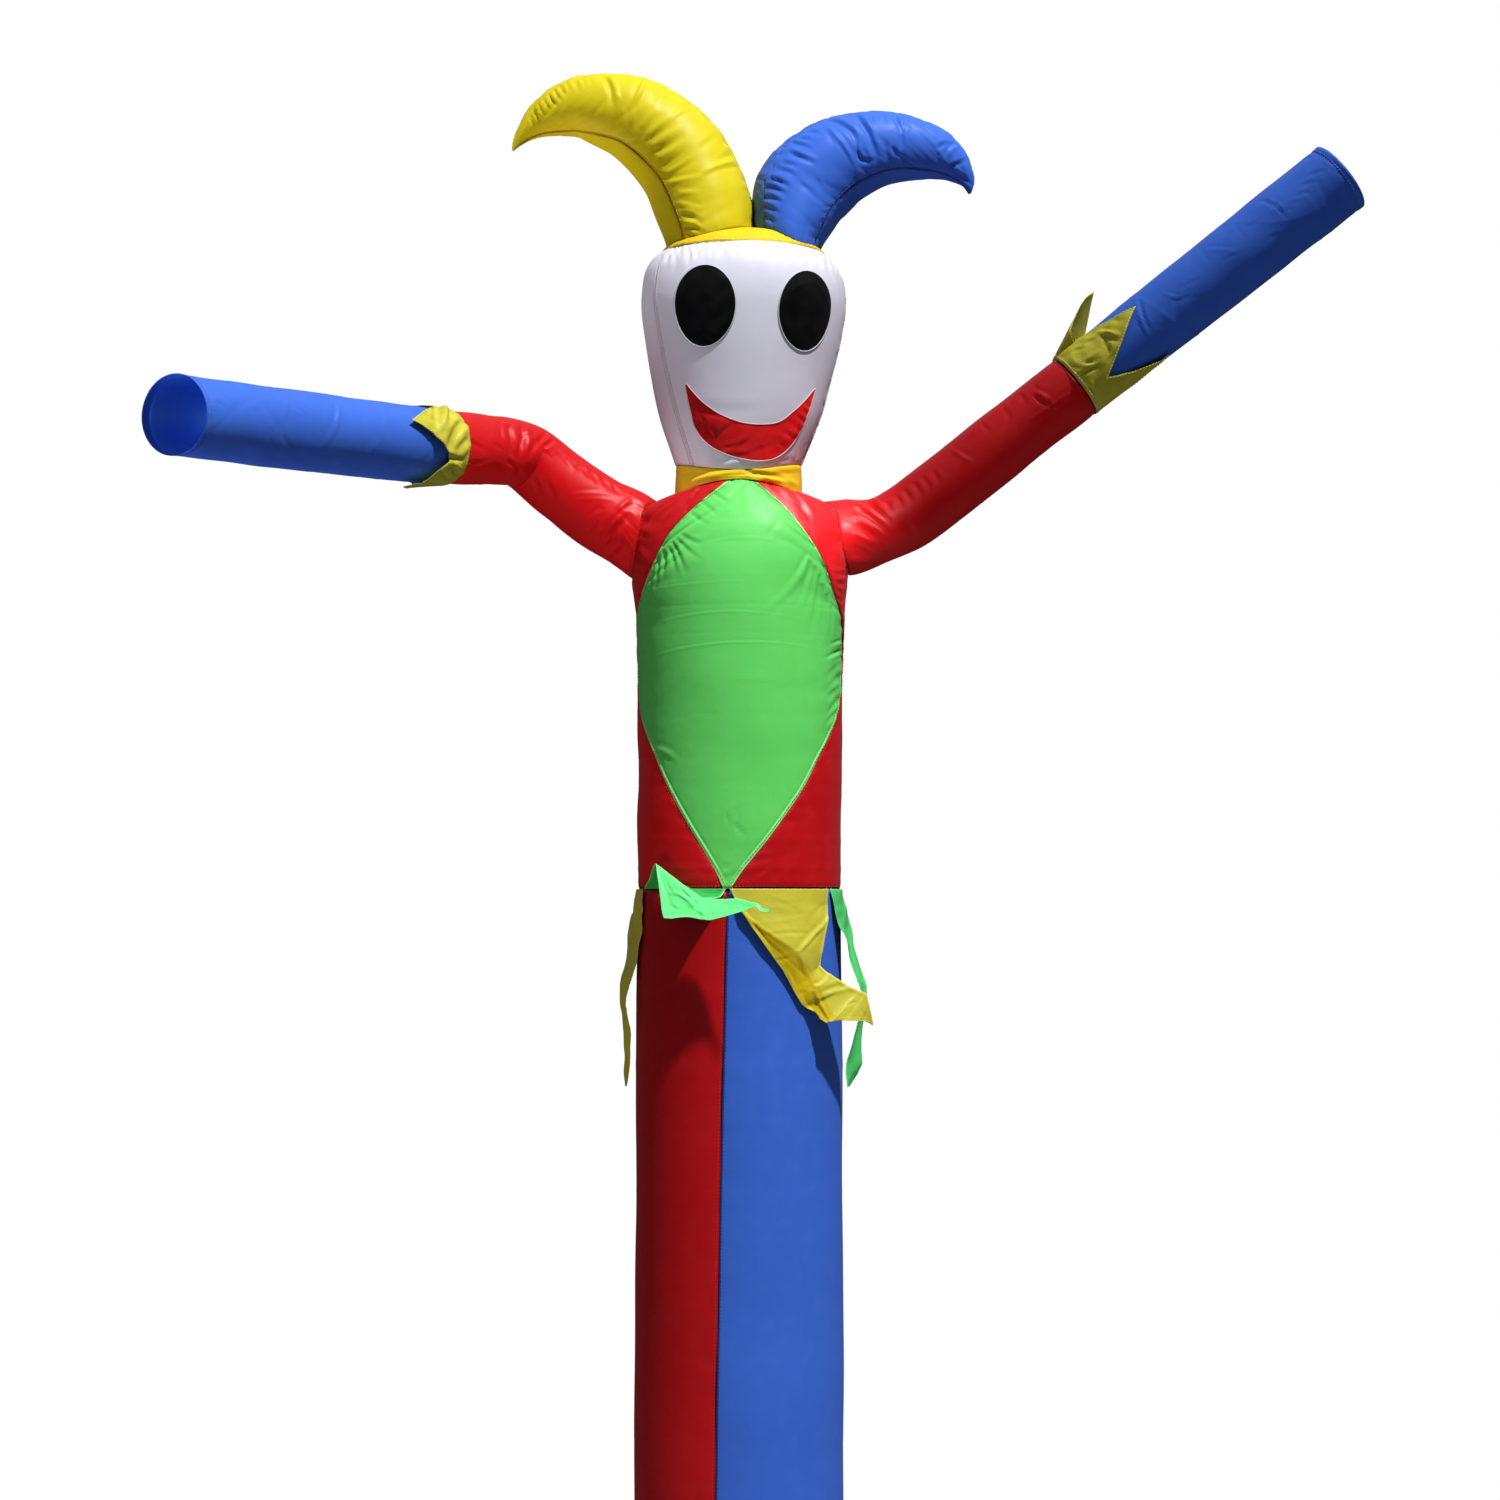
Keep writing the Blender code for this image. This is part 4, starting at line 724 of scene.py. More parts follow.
def arm_surface(table, distance, angle, stand_off=0.0):
    """Points on an arm, whose circles stand square to its middle line; angle 0 faces forward."""
    knots = arm_knots(table)
    distance = np.clip(distance, knots[0], knots[-1])
    here, before, after = (place(*fields(rows_at(table, distance + step, knots), 3)) for step in (0, -4, 4))
    along = unit(after - before)
    front = unit(np.array([0, -1, 0]) - along * (-along[..., 1:2]))
    a = np.radians(angle)[..., None]
    out = front * np.cos(a) + np.cross(along, front) * np.sin(a)
    row = rows_at(table, distance, knots)
    pinch = row[..., 4]
    folded = np.where(pinch * out[..., 2] > 0, out[..., 2] ** 2, 0)
    return here + out * (row[..., 3] + stand_off - np.abs(pinch) * folded)[..., None]


def arm_angles():
    """The angles round an arm of its columns, closest together in front."""
    t = np.linspace(0, 1, ARM_COLUMNS + 1)[:-1]
    return ARM_SEAM + 360 * (t + 0.3 * np.sin(2 * np.pi * t) / (2 * np.pi))


def arm_grid(table, start, end, rows):
    """A grid of points round an arm between two distances along it, which may differ round it."""
    distance = start + (end - start) * np.linspace(0, 1, rows)[:, None]
    return arm_surface(table, distance, arm_angles()[None, :] + 0 * distance)


def armhole(table):
    """For each angle round an arm, the distance along it where it leaves the torso."""
    far = np.linspace(0, 190, 381)
    out = inside_body(TORSO, arm_surface(table, far[:, None], arm_angles()[None, :]))
    return far[len(far) - 1 - np.argmax((out < 1)[::-1], axis=0)]


def out_of_arm(table, points):
    """How far out of an arm points lie."""
    row = rows_at(table, np.linspace(0, 210, 106), arm_knots(table))
    middle = place(*fields(row, 3))
    return (np.linalg.norm(points[..., None, :] - middle, axis=-1) - row[:, 3]).min(-1)


def nearest_on(ring, points):
    """The places on a closed line that are nearest to points."""
    closed = np.concatenate([ring, ring[:1]])
    turns = np.linspace(0, len(ring), 1200)
    line = np.stack([np.interp(turns, np.arange(len(closed)), closed[:, i]) for i in range(3)], -1)
    return line[np.linalg.norm(points[:, None, :] - line[None], axis=-1).argmin(1)]


def clear_of_leg(x, forward, height, gap):
    """The same places, pushed straight out where they would touch the leg tube."""
    _, centre, radius = fields(rows_at(LEG, station_at(LEG, height)), 3)
    push = np.maximum(1.0, (radius + gap) / np.hypot(x - centre, forward))
    return centre + (x - centre) * push, forward * push


# ---------------------------------------------------------------- how cloth puckers and folds


def spans(points):
    """How far each point of a grid is from its four edges: left, right, low and high."""
    across = np.linalg.norm(np.diff(points, axis=1), axis=2)
    left = np.concatenate([np.zeros((len(points), 1)), np.cumsum(across, 1)], 1)
    up = np.linalg.norm(np.diff(points, axis=0), axis=2)
    low = np.concatenate([np.zeros((1, points.shape[1])), np.cumsum(up, 0)], 0)
    return left, left[:, -1:] - left, low, low[-1:] - low


def outward(points, closed=False):
    """Unit normals of a grid of points."""
    across = np.roll(points, -1, 1) - np.roll(points, 1, 1) if closed else np.gradient(points, axis=1)
    return unit(np.cross(across, np.gradient(points, axis=0)))


def puckers(away, along, seed, pitch, deep, reach, lean=0.0, clear=2.6):
    """Troughs that run away from a seam, each with a place, length, depth and slant of its own.

    away is the distance from the seam and along the place on it; the troughs are about pitch apart, deep and
    reach long, lean is their slant, and none starts nearer to the seam than about clear.
    """
    draw = np.random.default_rng(seed)
    relief = np.zeros_like(away)
    at = along.min()
    while at < along.max():
        at += pitch * draw.uniform(0.55, 1.5)
        depth, long = deep * draw.uniform(0.3, 1.3), reach * draw.uniform(0.35, 1.5)
        wide, slant = pitch * draw.uniform(0.16, 0.34), lean + draw.uniform(-0.3, 0.3)
        near = (away < 2.2 * long) & (np.abs(along - at - slant * away) < 4 * pitch)
        off = away[near]
        t = (along[near] - at - slant * off) / (wide * (1 + 0.9 * off / long))
        relief[near] -= depth * np.exp(-t * t) * np.exp(-((off / long) ** 1.6))
    return relief * (1 - np.exp(-((away / clear) ** 2)))


def groove(away, deep, wide=3.5):
    """The dip at a seam that draws the cloth in."""
    return -deep * np.exp(-((away / wide) ** 2))


def hem(away, wide, rise, sewn_at, dip, half):
    """A turned-under edge, which stands up, and the dip along its stitches."""
    return rise * np.exp(-((away / wide) ** 8)) - dip * np.exp(-(((away - sewn_at) / half) ** 2))


def packing(height, seed, pitch, deep):
    """Faint level creases from when the figure was folded up."""
    draw = np.random.default_rng(seed)
    relief = np.zeros_like(height)
    at = height.min() + pitch * 0.6
    while at < height.max():
        t = (height - at) / draw.uniform(2.5, 5)
        relief += deep * draw.uniform(-1, 1) * np.exp(-t * t)
        at += pitch * draw.uniform(0.6, 1.4)
    return relief


def waves(points, seed, deep, length):
    """Broad, slight unevenness of cloth under low pressure."""
    draw = np.random.default_rng(seed)
    relief = np.zeros(points.shape[:-1])
    for _ in range(9):
        way = unit(draw.normal(size=3)) * 2 * math.pi / (length * draw.uniform(0.5, 1.6))
        relief += np.sin(points @ way + draw.uniform(0, 6.3))
    return relief * deep / 3


def crumples(left, low, seed, count, deep, half):
    """Sharp small creases, each a straight line over part of the cloth."""
    draw = np.random.default_rng(seed)
    size = float(np.hypot(left.max(), low.max()))
    relief = np.zeros_like(left)
    for _ in range(count):
        across, up, turn = draw.uniform(0, left.max()), draw.uniform(0, low.max()), draw.uniform(0, math.pi)
        long, depth = size * draw.uniform(0.05, 0.2), deep * draw.uniform(-1, 1)
        x, y = left - across, low - up
        along, off = x * math.cos(turn) + y * math.sin(turn), y * math.cos(turn) - x * math.sin(turn)
        off = off + draw.uniform(-0.004, 0.004) * along**2
        relief += depth * np.exp(-((along / long) ** 2)) * np.exp(-np.abs(off) / half)
    return relief


def placed_folds(points, name):
    """The folds of a table: each starts at its first place, is deepest near it and fades to its second."""
    x, z = points[..., 0] - AXIS[0], points[..., 2]
    relief = np.zeros_like(x)
    for x0, z0, x1, z1, bow, deep, half in FOLDS.get(name, ()):
        long = math.hypot(x1 - x0, z1 - z0)
        t = np.clip(((x - x0) * (x1 - x0) + (z - z0) * (z1 - z0)) / long**2, 0, 1)
        off = ((x - x0) * (z0 - z1) + (z - z0) * (x1 - x0)) / long - 4 * bow * t * (1 - t)
        side = 0.45 * np.exp(-(((off - 1.8 * half) / half) ** 2))  # the cloth rises beside a trough
        relief -= FOLD_DEPTH * deep * np.sin(math.pi * t**0.6) * (np.exp(-((off / half) ** 2)) - side)
    return relief


def front_folds(points, name, closed=False):
    """The same on the front of a piece that goes round to the back."""
    return placed_folds(points, name) * np.clip(-outward(points, closed)[..., 1] * 4, 0, 1)


def seam_mark(away, wide=2.2):
    """1 on a seam, down to 0 at its sides: where double cloth and thread darken or lighten the colour."""
    return np.clip(1.5 - away / wide, 0, 1)


# ---------------------------------------------------------------- making the pieces

PIECES = {}  # the finished ones
GRIDS = {}  # and the points of each
STITCH_LINES = {}  # by colour


def mesh_from_grid(name, points, closed, keep=slice(None)):
    """A mesh through a grid of points, with a flat cut of it, in metres, as its UV map."""
    rows, columns = points.shape[:2]
    mesh = bpy.data.meshes.new(name)
    i, j = np.meshgrid(np.arange(rows - 1), np.arange(columns if closed else columns - 1), indexing="ij")
    k = (j + 1) % columns
    corners = np.stack([i * columns + j, i * columns + k, (i + 1) * columns + k, (i + 1) * columns + j], -1)
    left, _, low, _ = spans(np.concatenate([points, points[:, :1]], 1))
    left = left - left.mean(1, keepdims=True)
    flat = np.stack([left, low.mean(1, keepdims=True) + 0 * left], -1) * MM
    cut = np.stack([flat[i, j], flat[i, j + 1], flat[i + 1, j + 1], flat[i + 1, j]], -2)
    mesh.from_pydata((points.reshape(-1, 3) * MM).tolist(), [], corners[keep].reshape(-1, 4).tolist())
    mesh.uv_layers.new(name="cut").data.foreach_set("uv", cut[keep].reshape(-1))
    mesh.shade_smooth()
    return mesh


def clean(mesh, weld=False):
    """Takes out the points without faces, or welds a rolled-up grid into a closed cord."""
    work = bmesh.new()
    work.from_mesh(mesh)
    if weld:
        bmesh.ops.remove_doubles(work, verts=work.verts, dist=1e-6)
        bmesh.ops.recalc_face_normals(work, faces=work.faces)
    else:
        bmesh.ops.delete(work, geom=[v for v in work.verts if not v.link_faces], context="VERTS")
    work.to_mesh(mesh)
    work.free()


def inset_line(grid, inset, edge):
    """The line that runs along a grid, inset from its left, right, low or high edge."""
    if edge in ("low", "high"):
        grid = grid.transpose(1, 0, 2)
    if edge in ("right", "high"):
        grid = grid[:, ::-1]
    return np.array([
        [np.interp(inset, far, row[:, i]) for i in range(3)]
        for row, far in zip(grid, spans(grid)[0])
        if far[-1] > 2.2 * inset
    ])


def cloth(name, points, relief, kind, stitched=(), closed=False, wall=0.45, offset=-1, held="stretched",
          rests_on=(), hole=None, cut="panel", **tones):
    """One sewn piece: a grid of points raised by its relief, with the thickness of its cloth.

    stitched has the inset and the edge of each row of stitches. hole has the points that lie in an armhole and
    the line that they are drawn to. tones are attributes that its material reads.
    """
    shaped = points + outward(points, closed) * relief[..., None]
    keep = slice(None)
    if hole:
        inside, ring = hole
        shaped[inside] = nearest_on(ring, shaped[inside])
        keep = ~(inside[:-1, :-1] & inside[1:, :-1] & inside[1:, 1:] & inside[:-1, 1:])
    mesh = mesh_from_grid(name, shaped, closed, keep)
    for tone, value in tones.items():
        mesh.attributes.new(tone, "FLOAT", "POINT").data.foreach_set("value", value.astype(np.float32).ravel())
    clean(mesh)
    mesh.materials.append(MATERIALS[kind])
    piece = put(name + "_cloth", mesh)
    solid = piece.modifiers.new("cloth", "SOLIDIFY")
    solid.thickness, solid.offset = wall * MM, offset

    whole = np.concatenate([points, points[:, :1]], 1) if closed else points
    left, _, low, _ = spans(whole)
    a, b = whole[1:, 1:] - whole[:-1, :-1], whole[1:, :-1] - whole[:-1, 1:]
    area = float(np.linalg.norm(np.cross(a, b), axis=-1)[keep].sum()) / 2 * MM**2
    width = left[:, -1].max() if cut == "panel" else left[0, -1]
    flat = [float(width) * MM, float(low[-1].max()) * MM]
    if cut == "triangle":
        flat[1] = 2 * area / flat[0]
    area = min(area, flat[0] * flat[1])

    slot = NYLON[kind][0]
    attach(piece, "root")
    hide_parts(name)

    PIECES[name], GRIDS[name] = piece, shaped
    raised = shaped + outward(shaped, closed) * STITCH_LIFT
    for inset, edge in stitched:
        line = inset_line(raised, inset, edge)
        if closed:
            line = np.concatenate([line, line[:1]])
        STITCH_LINES.setdefault(slot, []).append(line)


def both_sides(inset):
    """Rows of stitches up the left and the right edge."""
    return [(inset, "left"), (inset, "right")]


def leg():
    """The tube from the floor to the waist seam, half red and half blue."""
    for colour, edges, seed in (
        ("red", lambda row: (row[5] - BACK_SEAM, row[5]), 11),
        ("blue", lambda row: (row[5], row[5] + BACK_SEAM), 12),
    ):
        points = body_grid(LEG, edges, pitch=12, columns=52)
        left, right, low, high = spans(points)
        relief = groove(left, 1.2) + groove(right, 1.2) + groove(high, 2.0, 5)
        relief += puckers(left, low, seed, 34, 0.7, 30) + puckers(right, low, seed + 20, 34, 0.7, 30)
        relief += puckers(high, left, seed + 40, 22, 0.8, 34)
        relief += packing(points[..., 2], 5, 90, 0.5) + waves(points, seed, 0.8, 260)
        relief += hem(low, 24, 0.7, 25, 0.8, 3)
        cloth("leg_" + colour, points, relief, colour, [*both_sides(SEWN_AT), (23, "low"), (SEWN_AT, "high")],
              seam=seam_mark(np.minimum(left, right)))


def sleeve(side):
    table, seed = ARM[side], ARM_SEED[side]
    points = arm_grid(table, armhole(table), arm_knots(table)[CUFF_ROW], rows=130)
    left, _, low, high = spans(points)
    relief = groove(low, 1.6) + groove(high, 1.2)
    relief += GATHERED[side] * (puckers(low, left, seed, 10, 1.9, 24) + puckers(low, left, seed + 7, 26, 2.0, 48))
    relief += puckers(high, left, seed + 1, 13, 0.9, 14)
    relief += waves(points, seed, 0.8, 90) + front_folds(points, "sleeve_" + side, True)
    relief += crumples(left, low, seed + 2, 26, 0.7, 2.6)
    cloth("sleeve_red_" + side, points, relief, "red", [(SEWN_AT, "low"), (SEWN_AT, "high")], closed=True)


def forearm(side):
    knots, seed = arm_knots(ARM[side]), ARM_SEED[side] + 20
    end = knots[-1] - SLANT[side] * (1 + np.cos(np.radians(arm_angles())))
    points = arm_grid(ARM[side], knots[CUFF_ROW], end, rows=146)
    left, _, low, high = spans(points)
    relief = groove(low, 1.2) + puckers(low, left, seed, 13, 0.9, 16)
    relief += hem(high, 9, 0.7, 10, 0.9, 2.5)
    relief += puckers(high, left, seed + 1, 9, 0.8, 12) + waves(points, seed, 0.5, 110)
    relief += front_folds(points, "forearm_" + side, True)
    relief += crumples(left, low, seed + 2, 34, 0.7, 2.6)
    under = np.interp(low, [0, 30, 118, 145], [0, 0.7, 0.9, 9])  # room for it under the cuff
    relief = np.minimum(relief + 0.8 * np.clip(low / 30, 0, 1), under)
    cloth("forearm_blue_" + side, points, relief, "blue", [(9, "high")], closed=True)


def cuff(side):
    """A cuff with four points, sewn on at the sleeve's end and lying along the forearm."""
    seed = ARM_SEED[side] + 40
    near, angle, length, free = [], [], [], []
    rise = np.linspace(0, 1, 23)
    for i, (tip, long, stand_off, hollow) in enumerate(CUFF[side]):
        valley = CUFF_VALLEY[side] + 90 * i
        for far, seam, bend in ((rise, valley - 90, hollow), (rise[-2:0:-1], valley, 0)):
            near.extend(far)
            angle.extend(seam + (tip - seam) * far + bend * np.sin(math.pi * far**0.75))
            length.extend(CUFF_BAND + (long - CUFF_BAND) * far)
            free.extend(stand_off + 0 * far)
    near, angle, length, free = (np.array(values)[None, :] for values in (near, angle, length, free))
    share = np.linspace(0, 1, 30)[:, None]
    behind = np.clip((np.abs((angle + 180) % 360 - 180) - 62) / 20, 0, 1)
    stand_off = CUFF_LIFT - 1.2 * behind + free * share * (0.3 + 0.7 * near) * (1 - behind * (free < 3))
    points = arm_surface(ARM[side], arm_knots(ARM[side])[CUFF_ROW] + length * share, angle + 0 * share, stand_off)
    left, _, low, _ = spans(points)
    relief = puckers(low, left, seed, 12, 1.2, 16) * 0.8 + waves(points, seed, 0.6, 40)
    relief += front_folds(points, "cuff_" + side, True)
    relief += crumples(left, low, seed + 2, 18, 0.8, 1.8) * np.clip(low / 12, 0, 1)
    relief = (1.3 - 0.9 * behind) * relief + 2.2 * (1 - behind) * np.clip(low / 12, 0, 1)
    relief = np.maximum(relief, -1.3 * (1 - behind) - 0.1)
    cloth("cuff_yellow_" + side, points, relief, "mustard_yellow", [(3, "high"), (SEWN_AT, "low")], closed=True,
          wall=0.5, held="hung", cut="band", rests_on=["forearm_blue_" + side])


def bib():
    """The green panel set in at the front of the torso."""
    points = body_grid(TORSO, lambda row: (row[5] - row[6], row[5] + row[6]), pitch=1.7, columns=90)
    points = points[(points[:, 45, 2] > 2130) | (np.arange(len(points)) % 3 == 0)]  # closer rows at the gathers
    left, right, low, high = spans(points)
    narrow = np.clip((left + right) / 60, 0, 1)
    relief = (groove(left, 1.8, 3) + groove(right, 1.8, 3)) * narrow + groove(high, 1.6)
    shoulder = np.clip((points[..., 2] - 2040) / 60, 0, 1)
    for away, seed in ((left, 31), (right, 32)):
        relief += puckers(away, low, seed, 11.5, 5, 5.5, clear=0.6) * shoulder
        relief += puckers(away, low, seed + 4, 22, 1.8, 60, lean=-0.5) * shoulder
        relief += puckers(away, low, seed + 8, 16, 0.9, 14) * (1 - shoulder) * narrow
    relief += puckers(high, left, 43, 16, 1.6, 26)
    relief += packing(points[..., 2], 8, 48, 0.25) + waves(points, 9, 0.6, 160)
    relief += placed_folds(points, "bib")
    edge = np.minimum(left, right)
    turned = np.exp(-((edge / 6.5) ** 8)) * (1 - shoulder) * narrow
    relief += 0.9 * turned - 0.5 * np.exp(-(((edge - 8) / 2) ** 2)) * (1 - shoulder) * narrow
    relief += puckers(edge, low, 47, 6, 0.8, 6, clear=1.5) * turned
    pale = turned + 0.35 * seam_mark(edge, 3) + 0.9 * seam_mark(edge, 2.6) * shoulder * (relief > -2.2)
    cloth("bib_green", points, relief, "green", both_sides(5), seam=np.clip(pale, 0, 1))


def torso():
    """The red panel on each side of the bib, from there to the back, with its armhole."""
    for side, edges, seed in (
        ("left", lambda row: (row[5] * 0 - BACK_SEAM, row[5] - row[6]), 51),
        ("right", lambda row: (row[5] + row[6], row[5] * 0 + BACK_SEAM), 61),
    ):
        points = body_grid(TORSO, edges, pitch=3.8, columns=86)
        left, right, low, high = spans(points)
        out = out_of_arm(ARM[side], points)
        relief = groove(left, 1.4) + groove(right, 1.4) + groove(high, 1.6) + groove(low, 2.0, 5)
        relief += groove(np.abs(out), 1.6)
        relief += puckers(left, low, seed, 20, 0.9, 22) + puckers(right, low, seed + 1, 20, 0.9, 22)
        relief += puckers(high, left, seed + 2, 20, 3.2, 55) + puckers(low, left, seed + 3, 24, 0.6, 26)
        around = np.degrees(np.arctan2(points[..., 2] - ARMHOLE_HEIGHT, AXIS[1] - points[..., 1]))
        relief += puckers(np.clip(out, 0, None), around, seed + 4, 14, 2.2, 26) * (out > 0)
        relief += packing(points[..., 2], 8, 48, 0.5) + waves(points, seed, 0.8, 160)
        relief += front_folds(points, "torso")
        cloth("torso_red_" + side, points, relief, "red", [(SEWN_AT, "low"), *both_sides(SEWN_AT)],
              hole=(out < 1.2, GRIDS["sleeve_red_" + side][0]))


def head():
    """The collar, the face, the back of the head and the cap."""
    points = ring_grid(COLLAR, pitch=3.5, columns=132)
    left, _, low, high = spans(points)
    relief = groove(low, 1.6, 3) + groove(high, 1.4, 3) + 1.2 * np.sin(np.pi * low / (low + high))
    relief += puckers(low, left, 71, 17, 2.0, 18) + puckers(high, left, 72, 15, 1.6, 14)
    relief += front_folds(points, "collar", True)
    cloth("collar_yellow", points, relief, "amber_yellow", closed=True)
    for name, edges, seed in (
        ("face_white", lambda row: (row[5], row[6]), 81),
        ("head_back_white", lambda row: (row[6], row[5] + 360), 91),
    ):
        points = body_grid(HEAD, edges, pitch=3.6, columns=104)
        left, right, low, high = spans(points)
        relief = groove(left, 0.35) + groove(right, 0.7) + groove(low, 1.5) + groove(high, 1.6)
        faint, puckered = (left, right) if name == "face_white" else (right, left)
        relief += puckers(faint, low, seed, 12, 0.4, 12) + puckers(puckered, low, seed + 1, 9, 1.8, 11)
        relief += puckers(high, left, seed + 2, 8, 4.4, 20) + puckers(low, left, seed + 3, 16, 1.0, 20)
        relief += waves(points, seed, 0.7, 130)
        relief += placed_folds(points, name)
        cloth(name, points, relief, "white", both_sides(SEWN_AT), seam=seam_mark(np.minimum(left, right)))
    points = ring_grid(CAP, pitch=4, columns=168)
    left, _, low, _ = spans(points)
    relief = groove(low, 1.5) + puckers(low, left, 101, 9, 1.7, 16) + waves(points, 7, 0.6, 90)
    cloth("cap_yellow", points, relief, "amber_yellow", [(3.5, "low")], closed=True)


def horn(colour, kind, first_seed):
    """A horn of three panels: a gusset on the inner side of its curve, a front and a back."""
    table, lean = HORN[colour], HORN_LEAN[colour]
    fine = np.linspace(0, len(table) - 1, 500)
    far = lengths(rows_at(table, fine)[:, :2])
    for part, edges, columns, rows, seed in (
        ("inner", lambda row: (-row[..., 4], row[..., 4]), 26, 118, first_seed + 3),
        ("front", lambda row: (row[..., 4], 180 - row[..., 5]), 64, 150, first_seed + 1),
        ("back", lambda row: (180 - row[..., 5], 360 - row[..., 4]), 56, 118, first_seed + 2),
    ):
        share = closer(columns)
        if lean > 0:
            share = share[::-1]

        def surface(station, edges=edges, share=share):
            row = rows_at(table, station)
            start, end = edges(row)
            angle = start + (end - start) * share
            return row, angle, horn_surface(table, lean, station, angle)

        low_part = np.linspace(0, 5, 501)
        out = inside_body(CROWN, surface(low_part[:, None] + 0 * share)[2])
        base = np.interp(low_part[len(low_part) - 1 - np.argmax((out < 1)[::-1], axis=0)], fine, far)
        along = base + (far[-1] - base) * np.linspace(0, 1, rows)[:, None]
        row, angle, points = surface(np.interp(along, far, fine))
        left, right, low, _ = spans(points)
        size = np.clip(row[..., 2] / 45, 0.15, 1)
        slim = np.clip((left + right) / 25, 0, 1)
        relief = (groove(left, 1.3) + groove(right, 1.3)) * slim + groove(low, 1.4)
        gusset, ridge = (left, right) if (part == "front") == (lean < 0) else (right, left)
        if part == "inner":
            relief += (puckers(left, low, seed, 12, 1.0, 12) + puckers(right, low, seed + 1, 12, 1.0, 12)) * size
        else:
            relief += puckers(ridge, low, seed, 8, 1.9, 15) * size
            relief += puckers(ridge, low, seed + 1, 30, 1.6, 46) * size
            relief += puckers(gusset, low, seed + 2, 11, 1.2, 16) * size
            relief += puckers(gusset, low, seed + 5, 13, 1.5, 52, lean=0.25, clear=20) * size
        relief += puckers(low, left, seed + 3, 12, 1.4, 20) + waves(points, seed, 0.6, 90) * size
        relief += np.interp(low, *zip(*HORN_BULGE[colour])) * np.clip(-np.cos(np.radians(angle)), 0, 1)
        edge, stitched = np.minimum(left, right), ()
        if part != "inner":
            relief += front_folds(points, "horn_" + colour)
            edge, stitched = gusset, both_sides(3.5)
        cloth(f"horn_{colour}_{part}", points, relief, kind, stitched, seam=seam_mark(edge) * slim)


def layers(points, table):
    """The step along each line of a table, and how near the line is on the side that stands up."""
    x, height = points[..., 0] - AXIS[0], points[..., 2]
    relief, near = np.zeros_like(x), np.full_like(x, 99.0)
    for line, lift in table:
        line = np.array(line, float)
        best, side, past = np.full_like(x, 1e9), np.zeros_like(x), np.zeros_like(x)
        for a, b in zip(line, line[1:]):
            way = (b - a) / np.linalg.norm(b - a)
            along = (x - a[0]) * way[0] + (height - a[1]) * way[1]
            held = np.clip(along, 0, np.linalg.norm(b - a))
            off_x, off_z = x - a[0] - held * way[0], height - a[1] - held * way[1]
            far = np.hypot(off_x, off_z)
            nearer = far < best - 1e-6
            best = np.where(nearer, far, best)
            side = np.where(nearer, np.sign(off_z * way[0] - off_x * way[1]), side)
            past = np.where(nearer, np.abs(along - held), past)
        off = best * side
        rise = np.clip(off / 2.4 + 0.5, 0, 1)
        ends = np.exp(-((past / 9) ** 2))
        relief += lift * rise**2 * (3 - 2 * rise) * np.exp(-np.clip(off, 0, None) / 38) * ends
        if lift > 0:
            near = np.minimum(near, np.abs(off - 0.5) + 0.9 + 4 * (1 - ends))
    return relief, near


def pennant(place_of, seed, fine=12, over=(), leaning=(), curl=0.0, painted_shade=0.0, shaded=-1.0):
    """A pennant that hangs from the waist seam, in the folds that its table gives."""
    name, table = "pennant_" + place_of, np.array(PENNANT[place_of], float)
    last = len(table) - 1
    station = np.linspace(0, last, fine * last + 1)
    straight = np.stack([np.interp(station, np.arange(last + 1), column) for column in table.T], -1)
    row = 0.45 * rows_at(table, station) + 0.55 * straight
    share = closer(2 * fine + 8, 0.3)
    x, forward, height = (row[:, i, None] + (row[:, i + 3] - row[:, i])[:, None] * share for i in range(3))
    gap = ROOT_CLEAR + (FLAG_CLEAR - ROOT_CLEAR) * np.clip(station, 0, 1)[:, None]
    x, forward = clear_of_leg(x, forward, height, gap)
    points = place(x, forward, height + ROOT_RISE * np.clip(1 - station, 0, 1)[:, None])
    left, right, low, _ = spans(points)
    loose = np.clip(low / 30, 0, 1)
    relief = crumples(left, low, seed, 40, 1.0, 1.8) * loose + waves(points, seed, 0.8, 60) * loose
    relief += 0.5 * (np.exp(-((left / 6) ** 8)) + np.exp(-((right / 6) ** 8))) * loose
    relief += placed_folds(points, name) * loose
    step, near = layers(points, over)
    if curl:
        draw = np.random.default_rng(seed + 50)
        middle = (left - right) / (left + right + 1) + 0.5 * np.sin(low / 46 + draw.uniform(0, 6))
        relief += curl * (np.exp(-np.abs(middle) / 0.35) - 0.4) * loose
        relief += 0.5 * curl * np.sin(low / 17 + 3 * middle) * loose
    # Painted shade: deep is the share of the deep tone, painted_shade all over and full up to the station shaded,
    # for parts in shade or lit through from behind.
    deep = painted_shade + np.clip((shaded - station)[:, None] * 8, 0, 1) + 0 * left
    if leaning:
        reach = np.interp(station, *zip(*leaning))[:, None]
        relief += 0.3 * np.minimum(left, reach) * (0.4 + 0.6 * np.clip(right / 50, 0, 1))
        # painted shade, in the deep tone, on the strip that leans away
        deep = np.clip((reach - left) / 4, 0, 1)
        relief += 0.45 * right * np.clip(station - 4.2, 0, 1)[:, None] * np.clip(7.6 - station, 0, 1)[:, None]
    lift = np.abs(relief.min()) * 0.3
    mark = np.maximum(seam_mark(np.minimum(left, right), 1.8), 0.4 * seam_mark(near, 1.8))
    relief = np.maximum(relief, -2.2) + lift * loose + step * loose
    away = unit((points - AXIS) * (1, 1, 0))
    relief *= np.clip(4 * (outward(points) * away).sum(-1), -1, 1)
    cloth(name, points, relief, "light_green" if "green" in name else "mustard_yellow", both_sides(4.5), wall=0.5,
          offset=0, held="hung", cut="triangle", rests_on=["leg_red", "leg_blue"],
          seam=mark * np.clip((left + right) / 20, 0, 1), deep=deep)


# ---------------------------------------------------------------- what is sewn on the face


